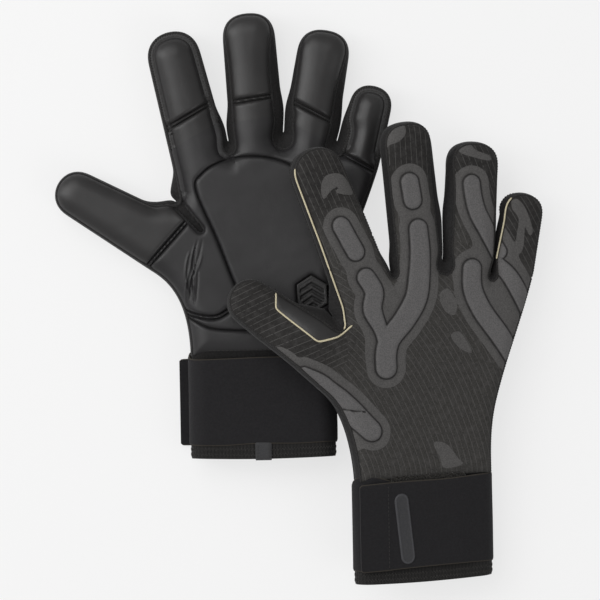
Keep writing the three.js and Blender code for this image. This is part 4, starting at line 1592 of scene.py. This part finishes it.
def build_loops(glove):
    """The fuzzy patch: a fine net, dented at random near its top edge."""
    low, high = glove.extent("loop_patch")
    x0, x1, y0, y1 = low[0] + 11, high[0], low[1], high[1] + LOOP_RISE
    r = LOOP_CORNER
    loop = []
    for cx, cy, a in ((x1 - r, y1 - r, 90), (x1 - r, y0 + r, 0),
                      (x0 + r, y0 + r, -90), (x0 + r, y1 - r, 180)):
        loop += [(cx + r * math.cos(math.radians(a - t)), cy + r * math.sin(math.radians(a - t)))
                 for t in (0, 30, 60, 90)]
    loop = even([*loop, loop[0]], 1.0)[:-1]
    rng = np.random.default_rng(3)
    above = lambda p: p[:, 1] > high[1] - 4
    places, triangles, _ = net(loop, [], fine=[(above, 0.5)], rings=(0.4, 0.9), grid=2.4)
    d = distance(places, loop, True)
    top = 2.85 + 0.0 * d
    pile = rng.uniform(0, 0.55, len(places)) * (places[:, 1] > high[1] - 5)
    outer = top - 0.35 * rise(d, 0.8) - pile
    return {"loop_pile": lifted(glove, "loop_pile", places, triangles, outer, top + 1.0, None, -1)}


BADGE_LEAN = 1.9  # how far each end of the badge leans to its side, in mm
# How far the badge is drawn off the frame's place, in mm: down, and towards the flap's end.
BADGE_DOWN = 2.0
BADGE_ASIDE = -9.0
BADGE_THICK = 1.0


def build_badge(glove):
    low, high = glove.extent("strap_badge")
    half = (high[0] - low[0]) / 2 - 0.2
    middle_x = (low[0] + high[0]) / 2 + BADGE_ASIDE
    ends = [np.array([middle_x + BADGE_LEAN, low[1] + half - BADGE_DOWN]),
            np.array([middle_x - BADGE_LEAN, high[1] - half - BADGE_DOWN])]
    up = unit(ends[1] - ends[0])
    beside = np.array([up[1], -up[0]])
    loop = []
    for centre, start in ((ends[1], 180), (ends[0], 0)):
        for a in np.linspace(start, start - 180, 15):
            turn = math.radians(a)
            loop.append(centre + beside * half * math.cos(turn) + up * half * math.sin(turn))
    loop = even([*loop, loop[0]], 0.8)[:-1]
    places, triangles, _ = net(loop, [], rings=(0.3, 0.7, 1.2, 1.7), grid=1.2)
    d = distance(places, loop, True)
    base = FLAP_HEIGHT - (STRAP_THICK - 0.3) / 2
    outer = base - BADGE_THICK * rise(d, 1.0) * 0.62 + 0.22 * soft(d, 1.1, 1.7)
    # The stored distance to the edge lets the finish paint the raised rim lighter than the sunken middle:
    # painted highlight.
    return {"badge_rubber": lifted(glove, "badge_rubber", places, triangles, outer,
                                   np.full(len(places), base + 0.3), None, -1, {"rim": d})}


# %% [markdown]
# ## Build both gloves
# The two gloves are sewn from the same pattern, one mirrored, so each step is run on both.

# %% Sew the gloves together
for side, glove in GLOVES.items():
    build_palm(glove)
    build_back(glove)
    glove.rim = rim_line(glove)
    for stretch in glove.stretches:
        build_band(glove, *stretch)
    build_edges(glove)
    build_threads(glove)
    build_grip(glove)
    build_cuff(glove)
    build_strap(glove)
    build_loops(glove)
    build_badge(glove)
    print(side, "glove:", len(glove.pieces), "pieces,",
          sum(len(thing.data.polygons) for thing in glove.pieces.values()), "faces")

# %% [markdown]
# ## Finishes
# Everything on these gloves is near black, so the finishes differ by how they scatter light:
# satin latex, dull knit, a tight matte weave, and rubber. Each is a node material. Its
# patterns are measured in metres in the glove's own space, or follow values stored on the
# mesh, such as the distance to a rib, so that they stay crisp at any scale.

# %% Helpers for node materials
def linear(red, green, blue):
    """A colour picked on a screen, from 0 to 255, as Blender's linear values."""
    value = [c / 255 for c in (red, green, blue)]
    return (*[c / 12.92 if c <= 0.04045 else ((c + 0.055) / 1.055) ** 2.4 for c in value], 1.0)


class Finish:
    """A material under construction, with short ways to add its nodes."""

    def __init__(self, name, roughness, specular=0.25, sheen=0.0):
        self.material = bpy.data.materials.new(name)
        self.material.use_nodes = True
        self.tree = self.material.node_tree
        self.shader = self.tree.nodes["Principled BSDF"]
        self.shader.inputs["Roughness"].default_value = roughness
        self.shader.inputs["Specular IOR Level"].default_value = specular
        self.shader.inputs["Sheen Weight"].default_value = sheen
        self.shader.inputs["Sheen Roughness"].default_value = 0.45
        self.heights = []

    def add(self, kind, inputs=None, **settings):
        node = self.tree.nodes.new(kind)
        for key, value in settings.items():
            setattr(node, key, value)
        for key, value in (inputs or {}).items():
            self.put(node.inputs[key], value)
        return node

    def put(self, socket, value):
        if isinstance(value, bpy.types.NodeSocket):
            self.tree.links.new(value, socket)
        else:
            socket.default_value = value

    def stored(self, name):
        """A value stored on the mesh."""
        return self.add("ShaderNodeAttribute", attribute_name=name).outputs["Fac"]

    def math(self, kind, a, b=0.0, c=0.0):
        return self.add("ShaderNodeMath", {0: a, 1: b, 2: c}, operation=kind).outputs[0]

    def step(self, value, start, end, low=0.0, high=1.0):
        """A smooth step of value from low to high."""
        return self.add("ShaderNodeMapRange", {"Value": value, "From Min": start, "From Max": end,
                                               "To Min": low, "To Max": high},
                        interpolation_type="SMOOTHSTEP").outputs["Result"]

    def noise(self, size, detail=2.0, roughness=0.5):
        """Noise whose features are about size metres across."""
        place = self.add("ShaderNodeTexCoord").outputs["Object"]
        return self.add("ShaderNodeTexNoise", {"Vector": place, "Scale": 1 / size, "Detail": detail,
                                               "Roughness": roughness}).outputs["Fac"]

    def cells(self, size, feature="F1"):
        place = self.add("ShaderNodeTexCoord").outputs["Object"]
        return self.add("ShaderNodeTexVoronoi", {"Vector": place, "Scale": 1 / size},
                        feature=feature).outputs["Distance"]

    def mix(self, amount, a, b):
        node = self.add("ShaderNodeMix", data_type="RGBA")
        for socket, value in zip((node.inputs[0], node.inputs[6], node.inputs[7]), (amount, a, b)):
            self.put(socket, value)
        return node.outputs[2]

    def height(self, value, depth):
        """Adds a bump of so many metres to the surface."""
        self.heights.append((value, depth))

    def done(self, colour):
        self.put(self.shader.inputs["Base Color"], colour)
        normal = None
        for value, depth in self.heights:
            inputs = {"Height": value, "Distance": depth, "Strength": 1.0}
            if normal is not None:
                inputs["Normal"] = normal
            normal = self.add("ShaderNodeBump", inputs).outputs["Normal"]
        if normal is not None:
            self.put(self.shader.inputs["Normal"], normal)
        return self.material


# %% Latex, in two sheens, with the fingers' copy painted lighter
def latex(name, dark, light, roughness):
    """Foam latex: satin, finely pitted, with a little bloom in patches."""
    finish = Finish(name, roughness, 0.5, 0.03)
    bloom = finish.noise(0.021, 3)
    grain = finish.noise(0.0006, 2)
    tone = finish.math("ADD", finish.step(bloom, 0.3, 0.72, 0, 0.7), finish.step(grain, 0.35, 0.7, 0, 0.3))
    finish.height(grain, 0.00004)
    finish.height(finish.noise(0.014, 1), 0.0003)
    return finish.done(finish.mix(tone, linear(*dark), linear(*light)))


# %% Knit back with ribs, bonded zones and fine lines
def knit_back():
    finish = Finish("knit_back_and_film", 0.72, 0.2, 0.08)
    kinds = ("rib", "zone", "crossing", "line", "shade")
    rib, zone, crossing, line, shade = (finish.stored(k) for k in kinds)
    grain = finish.noise(0.0007, 3, 0.7)
    soft_grain = finish.noise(0.0035, 2)
    speck = finish.step(grain, 0.32, 0.68)
    knit = finish.mix(speck, linear(49, 48, 46), linear(70, 68, 66))
    knit = finish.mix(shade, knit, finish.mix(speck, linear(34, 33, 32), linear(50, 48, 47)))
    film = finish.mix(speck, linear(76, 75, 74), linear(98, 96, 95))
    raised = finish.mix(speck, linear(90, 89, 89), linear(114, 112, 112))
    # A thin light line once a spacing, broken into dashes where the noise is low.
    phase = finish.math("ABSOLUTE", finish.math("SUBTRACT", finish.math("FRACT", line), 0.5))
    thin = finish.step(phase, 0.03, 0.06, 1, 0)
    dash = finish.step(finish.noise(0.0017, 1), 0.33, 0.42)
    seen_line = finish.math("MULTIPLY", thin, finish.math("MULTIPLY", dash, 0.38))
    knit = finish.mix(seen_line, knit, linear(118, 117, 115))
    in_zone = finish.step(zone, -0.12, 0.12, 1, 0)
    colour = finish.mix(in_zone, knit, film)
    in_rib = finish.math("MULTIPLY", finish.step(rib, -0.5, -0.1, 1, 0), finish.step(crossing, 0.1, 0.5))
    colour = finish.mix(in_rib, colour, raised)
    # Painted shade: the grooves round the ribs and the line across the thumb's rib are painted darker where
    # they sink in.
    groove = finish.math("MULTIPLY", finish.step(rib, 0.2, 1.1, 1, 0), finish.step(rib, -0.75, -0.1))
    crossing_shade = finish.math("MULTIPLY", finish.step(crossing, 0.15, 0.7, 1, 0),
                          finish.step(rib, -0.1, 0.1, 1, 0))
    dark = finish.math("MULTIPLY", finish.math("MAXIMUM", groove, crossing_shade), 0.8)
    colour = finish.mix(dark, colour, linear(31, 30, 30))
    colour = finish.mix(finish.step(soft_grain, 0.4, 0.75, 0, 0.12), colour, linear(110, 108, 107))
    finish.height(grain, 0.00012)
    finish.height(in_zone, 0.00015)
    return finish.done(colour)


# %% Gusset mesh, piping, thread and foam
def cloth(name, dark, light, size, depth, roughness=0.85, sheen=0.12):
    finish = Finish(name, roughness, 0.16, sheen)
    grain = finish.noise(size, 2)
    finish.height(grain, depth)
    finish.height(finish.cells(size * 2.2), depth * 1.4)
    return finish.done(finish.mix(finish.step(grain, 0.3, 0.7), linear(*dark), linear(*light)))


# %% Woven elastic: a plain weave that follows the band
def elastic(name="elastic_weave"):
    finish = Finish(name, 0.78, 0.2, 0.06)
    run, across, edge = (finish.stored(k) for k in ("run", "across", "edge"))
    pitch = 0.75
    warp = finish.math("SINE", finish.math("MULTIPLY", run, 2 * math.pi / pitch))
    weft = finish.math("SINE", finish.math("MULTIPLY", across, 2 * math.pi / pitch))
    weave = finish.math("MULTIPLY", warp, weft)
    mottle = finish.noise(0.0012, 3, 0.7)
    tone = finish.math("ADD", finish.step(weave, -1, 1, 0, 0.5), finish.step(mottle, 0.3, 0.7, 0, 0.5))
    body = finish.mix(tone, linear(30, 29, 31), linear(43, 42, 44))
    selvedge = finish.step(edge, 0.35, 0.75, 1, 0)
    finish.height(weave, 0.00007)
    finish.height(finish.noise(0.012, 2), 0.0003)
    return finish.done(finish.mix(finish.math("MULTIPLY", selvedge, 0.75), body, linear(70, 65, 57)))


# %% Ribbed hem and sleeve knit
def rib_knit(name, dark, light, pitch):
    finish = Finish(name, 0.85, 0.15, 0.12)
    run, across = finish.stored("run"), finish.stored("across")
    rib = finish.math("ABSOLUTE", finish.math("SINE", finish.math("MULTIPLY", run, math.pi / pitch)))
    rows = finish.math("SINE", finish.math("MULTIPLY", across, 2 * math.pi / 0.9))
    # The tone that raises the ribs also paints them lighter and the furrows between them darker: painted
    # light on the ribs' relief.
    tone = finish.math("MULTIPLY", rib, finish.step(rows, -1, 1, 0.6, 1.0))
    finish.height(tone, 0.00025)
    finish.height(finish.noise(0.0008, 2), 0.0001)
    return finish.done(finish.mix(tone, linear(*dark), linear(*light)))


def pile():
    finish = Finish("loop_pile_fuzz", 0.95, 0.1, 0.25)
    curl = finish.noise(0.0011, 4, 0.8)
    finish.height(curl, 0.0005)
    finish.height(finish.cells(0.0009), 0.0004)
    return finish.done(finish.mix(finish.step(curl, 0.35, 0.65), linear(24, 23, 22), linear(62, 60, 57)))


def rubber(name, dark, light, stored=None, sharp=(0.2, 0.8)):
    finish = Finish(name, 0.5, 0.35)
    pores = finish.cells(0.0007)
    finish.height(pores, 0.00012)
    finish.height(finish.noise(0.003, 2), 0.0001)
    tone = finish.step(pores, 0.1, 0.7, 0, 0.35)
    # Where a stored value is given, it paints the raised ridges or rim lighter than the sunken parts: painted
    # highlight on the relief.
    if stored:
        tone = finish.math("ADD", tone, finish.step(finish.stored(stored), *sharp, 0, 0.6))
    return finish.done(finish.mix(tone, linear(*dark), linear(*light)))


LATEX = latex("latex_satin", (38, 37, 38), (46, 45, 46), 0.45)
# The fingers' latex is the palm's foam latex, a little smoother, and painted a little lighter: painted light
# for their brighter lit pads.
LIGHTENED_FINGER_LATEX = latex("latex_smooth", (42, 41, 41), (50, 49, 49), 0.40)
BACK = knit_back()
GUSSET = cloth("gusset_knit", (33, 32, 32), (44, 43, 43), 0.0009, 0.00014, 0.65)
# The piping is near-black jersey like the gusset, painted lighter: painted highlight for the light lines
# along its rolled edge.
LIGHTENED_PIPING = cloth("piping_jersey", (38, 37, 37), (50, 49, 49), 0.0006, 0.0001, 0.6)
THREAD = cloth("sewing_thread", (52, 51, 50), (74, 72, 70), 0.0003, 0.00004, 0.6)
OVERLOCK_THREAD = cloth("overlock_thread", (38, 37, 37), (58, 57, 56), 0.0004, 0.00008, 0.7)
CREAM_FOAM = cloth("cream_foam", (206, 194, 160), (233, 224, 196), 0.0005, 0.0001, 0.8, 0.0)
ELASTIC = elastic()
HEM = rib_knit("hem_rib_knit", (36, 35, 35), (48, 47, 46), HEM_PITCH)
SLEEVE = cloth("sleeve_jersey", (26, 25, 25), (36, 35, 35), 0.0008, 0.0001)
TAPE = cloth("grey_tape", (56, 56, 57), (74, 74, 76), 0.0005, 0.00006, 0.6)
PILE = pile()
GRIP = rubber("grip_rubber", (28, 27, 27), (62, 61, 61), "ridge")
BADGE = rubber("badge_rubber", (50, 50, 52), (74, 74, 77), "rim", (1.6, 0.9))
print(len(bpy.data.materials), "finishes")


# %% [markdown]
# ## Give each piece its finish and its place in the frame
# A piece's name says what it is, so a short table of endings gives it a finish, a slot and
# the frame piece that it stands for. The finish is put on the piece, the frame piece is
# hidden, and the slot is not used. A piece of the hand is attached to the hand's body, and a
# stitch or badge of the strap's flap to the flap's. A finger's pieces, where the finger is a
# body of the frame, and the flap's elastic are only baked in place: they are attached to no
# body, so they do not bend or turn. Otherwise a finger's pieces go with the hand.

# %% Finish, slot and frame piece by name
RULES = [  # (ending of the name, finish, slot, frame piece)
    ("palm_centre_latex", LATEX, "latex", "palm_centre_pad"),
    ("thumb_ball_latex", LATEX, "latex", "thumb_ball_pad"),
    ("heel_panel_latex", LATEX, "latex", "heel_panel"), ("heel_roll_latex", LATEX, "latex", None),
    ("finger_root_latex", LATEX, "latex", "finger_root_pad"),
    ("_latex", LIGHTENED_FINGER_LATEX, "latex", "{digit}_pad"),
    ("thumb_slot", GUSSET, "gusset_fabric", None), ("heel_grip_rubber", GRIP, "moulded_rubber", "heel_grip"),
    ("backhand_knit", BACK, "knit_back", "backhand_panel"),
    ("thumb_roll", LIGHTENED_FINGER_LATEX, "latex", "thumb_wrap"),
    ("_back", BACK, "knit_back", "{digit}_shell"), ("_side_band", GUSSET, "gusset_fabric", None),
    ("_web_band", GUSSET, "gusset_fabric", "{same}"),
    ("_side_gusset_band", GUSSET, "gusset_fabric", "{same}"),
    ("_piping", LIGHTENED_PIPING, "gusset_fabric", None), ("_overlock", OVERLOCK_THREAD, "gusset_fabric", None),
    ("stitch", THREAD, "gusset_fabric", None), ("_foam_edge", CREAM_FOAM, "latex", None),
    ("_wrap_edge", CREAM_FOAM, "latex", None), ("sleeve_knit", SLEEVE, "rib_knit", "cuff_sleeve"),
    ("hem_rib", HEM, "rib_knit", "cuff_hem"), ("hem_zigzag_1", THREAD, "rib_knit", None),
    ("hem_zigzag_2", THREAD, "rib_knit", None), ("tab_tape", TAPE, "tape", "pull_tab"),
    ("stitches", THREAD, "tape", None), ("strap_elastic", ELASTIC, "elastic_strap", "strap"),
    ("flap_elastic", ELASTIC, "elastic_strap", "strap_flap"), ("loop_pile", PILE, "loop_pile", "loop_patch"),
    ("badge_rubber", BADGE, "moulded_rubber", "strap_badge"),
]
ON_FLAP = ("flap_elastic", "flap_stitches", "badge_rubber")
BEND_FROM = {"thumb": (8.0, 44.0)}


def rule_for(name):
    for ending, *rest in RULES:
        if name.endswith(ending):
            return rest
    raise ValueError(f"no finish for {name}")


def bend_line(glove, digit):
    """Two points in the world: where a finger's bend begins and where it ends."""
    first = CUT[digit.name]
    start, end = BEND_FROM.get(digit.name, (first, first + BEND_LENGTH[digit.name]))
    across = unit(digit.across + digit.along * digit.skew)
    ahead = np.array([-across[1], across[0]])
    points = np.array([[*(digit.at + ahead * d), glove.z["palm_in"]] for d in (start, end)])
    return [tuple(map(float, p)) for p in glove.world(points)]


def join_frame(glove, name, thing):
    finish, slot, node = rule_for(name)
    thing.data.materials.append(finish)
    hand = f"{glove.side}_hand"
    digit = glove.digits.get(name.split("_")[0]) if name in glove.on_digit else None
    if digit is not None and f"{glove.side}_{digit.name}" in frame["bodies"]:
        start, end = bend_line(glove, digit)
        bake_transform(thing)
    elif name == "flap_elastic":
        points = glove.world(np.array([[SIDE_RUN + SIDE_RADIUS, 37, SIDE_MIDDLE],
                                       [SIDE_RUN, 37, FLAP_HEIGHT]]))
        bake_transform(thing)
    else:
        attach(thing, f"{glove.side}_strap_flap" if name in ON_FLAP else hand)
    if node:
        same = name.replace("_band", "")
        which = name.split("_")[0]
        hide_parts(f"{glove.side}_" + node.format(digit=which, same=same))


for glove in GLOVES.values():
    for name, thing in glove.pieces.items():
        join_frame(glove, name, thing)

# %% [markdown]
# ## Which pieces are padded, and which are cloth
# The latex and the back are foam. The gussets, the cuff and the strap are cloth. Nothing is
# declared here: the loop below only reads each glove's pieces and the extent of its strap's
# flap, and the sizes of the gusset strips, kept in glove.strips, are not used.

for glove in GLOVES.values():
    pieces, side = glove.pieces, glove.side
    low, high = glove.extent("strap_flap")

# %% [markdown]
# ## Floor, light and camera
# The gloves lie on a pale floor under soft studio light: a broad lamp from the upper left, a
# low one that grazes the pads from the left, a weak one from the lower right, and an even sky.
# Together they light a surface that faces up at a plain level, so that a colour shows about as
# it is written. The floor is lifted to a clean near-white for the eye only, by its own light,
# and still takes the gloves' shadow.

# %% Floor and light
FLOOR_GLOW = 0.74
SKY = 0.34
floor_mesh = bpy.data.meshes.new("floor")
edge = 3.0
floor_corners = [(-edge, -edge, 0), (edge, -edge, 0), (edge, edge, 0), (-edge, edge, 0)]
floor_mesh.from_pydata(floor_corners, [], [(0, 1, 2, 3)])
floor = bpy.data.objects.new("floor", floor_mesh)
floor.location.z = -0.0005
bpy.context.scene.collection.objects.link(floor)
paper = Finish("pale_floor", 0.9, 0.0)
seen = paper.add("ShaderNodeLightPath")
glow = paper.add("ShaderNodeEmission", {"Color": linear(250, 250, 250), "Strength": FLOOR_GLOW})
matte = paper.add("ShaderNodeBsdfDiffuse", {"Color": linear(226, 226, 226)})
shaded = paper.add("ShaderNodeBsdfDiffuse", {"Color": linear(140, 140, 140)})
both = paper.add("ShaderNodeAddShader")
paper.put(both.inputs[0], glow.outputs[0])
paper.put(both.inputs[1], shaded.outputs[0])
choose = paper.add("ShaderNodeMixShader", {0: seen.outputs["Is Camera Ray"]})
paper.put(choose.inputs[1], matte.outputs[0])
paper.put(choose.inputs[2], both.outputs[0])
paper.put(paper.tree.nodes["Material Output"].inputs["Surface"], choose.outputs[0])
paper.tree.nodes.remove(paper.shader)
floor_mesh.materials.append(paper.material)
floor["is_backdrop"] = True

world = bpy.data.worlds.new("even sky")
bpy.context.scene.world = world
world.use_nodes = True
world.node_tree.nodes["Background"].inputs["Color"].default_value = (1.0, 1.0, 1.0, 1.0)
world.node_tree.nodes["Background"].inputs["Strength"].default_value = SKY


def softbox(name, place, size, power):
    lamp = bpy.data.lights.new(name, "AREA")
    lamp.shape = "RECTANGLE"
    lamp.size, lamp.size_y = size
    lamp.energy = power
    holder = bpy.data.objects.new(name, lamp)
    holder.location = place
    holder.rotation_euler = (-Vector(place)).to_track_quat("-Z", "Y").to_euler()
    bpy.context.scene.collection.objects.link(holder)


softbox("broad lamp", (-0.85, 0.65, 1.6), (1.8, 1.8), 15.5)
softbox("edge lamp", (-1.35, 0.35, 0.75), (0.5, 1.5), 6.0)
softbox("low lamp", (1.1, -0.9, 1.2), (1.0, 1.0), 4.0)

# %% Camera straight above
VIEW_WIDTH = 0.384
CAMERA_HEIGHT = 4.0
camera = bpy.data.objects.new("camera", bpy.data.cameras.new("camera"))
camera.location = (0.0, -0.0006, CAMERA_HEIGHT)
camera.data.lens = camera.data.sensor_width * CAMERA_HEIGHT / VIEW_WIDTH
bpy.context.scene.collection.objects.link(camera)
bpy.context.scene.camera = camera
bpy.context.scene.view_settings.view_transform = "Standard"

# %% [markdown]
# ## The size
# Both boxes are printed: the frame's, and that of the sewn gloves. The sewn gloves must
# fill the frame's box and stay within it, apart from a little that fabric may stand
# proud.

# %% Print the boxes
new_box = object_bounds()
for title, box in (("frame box:", cad_box), ("visual box:", new_box)):
    print(title, [[round(v, 4) for v in c] for c in box])
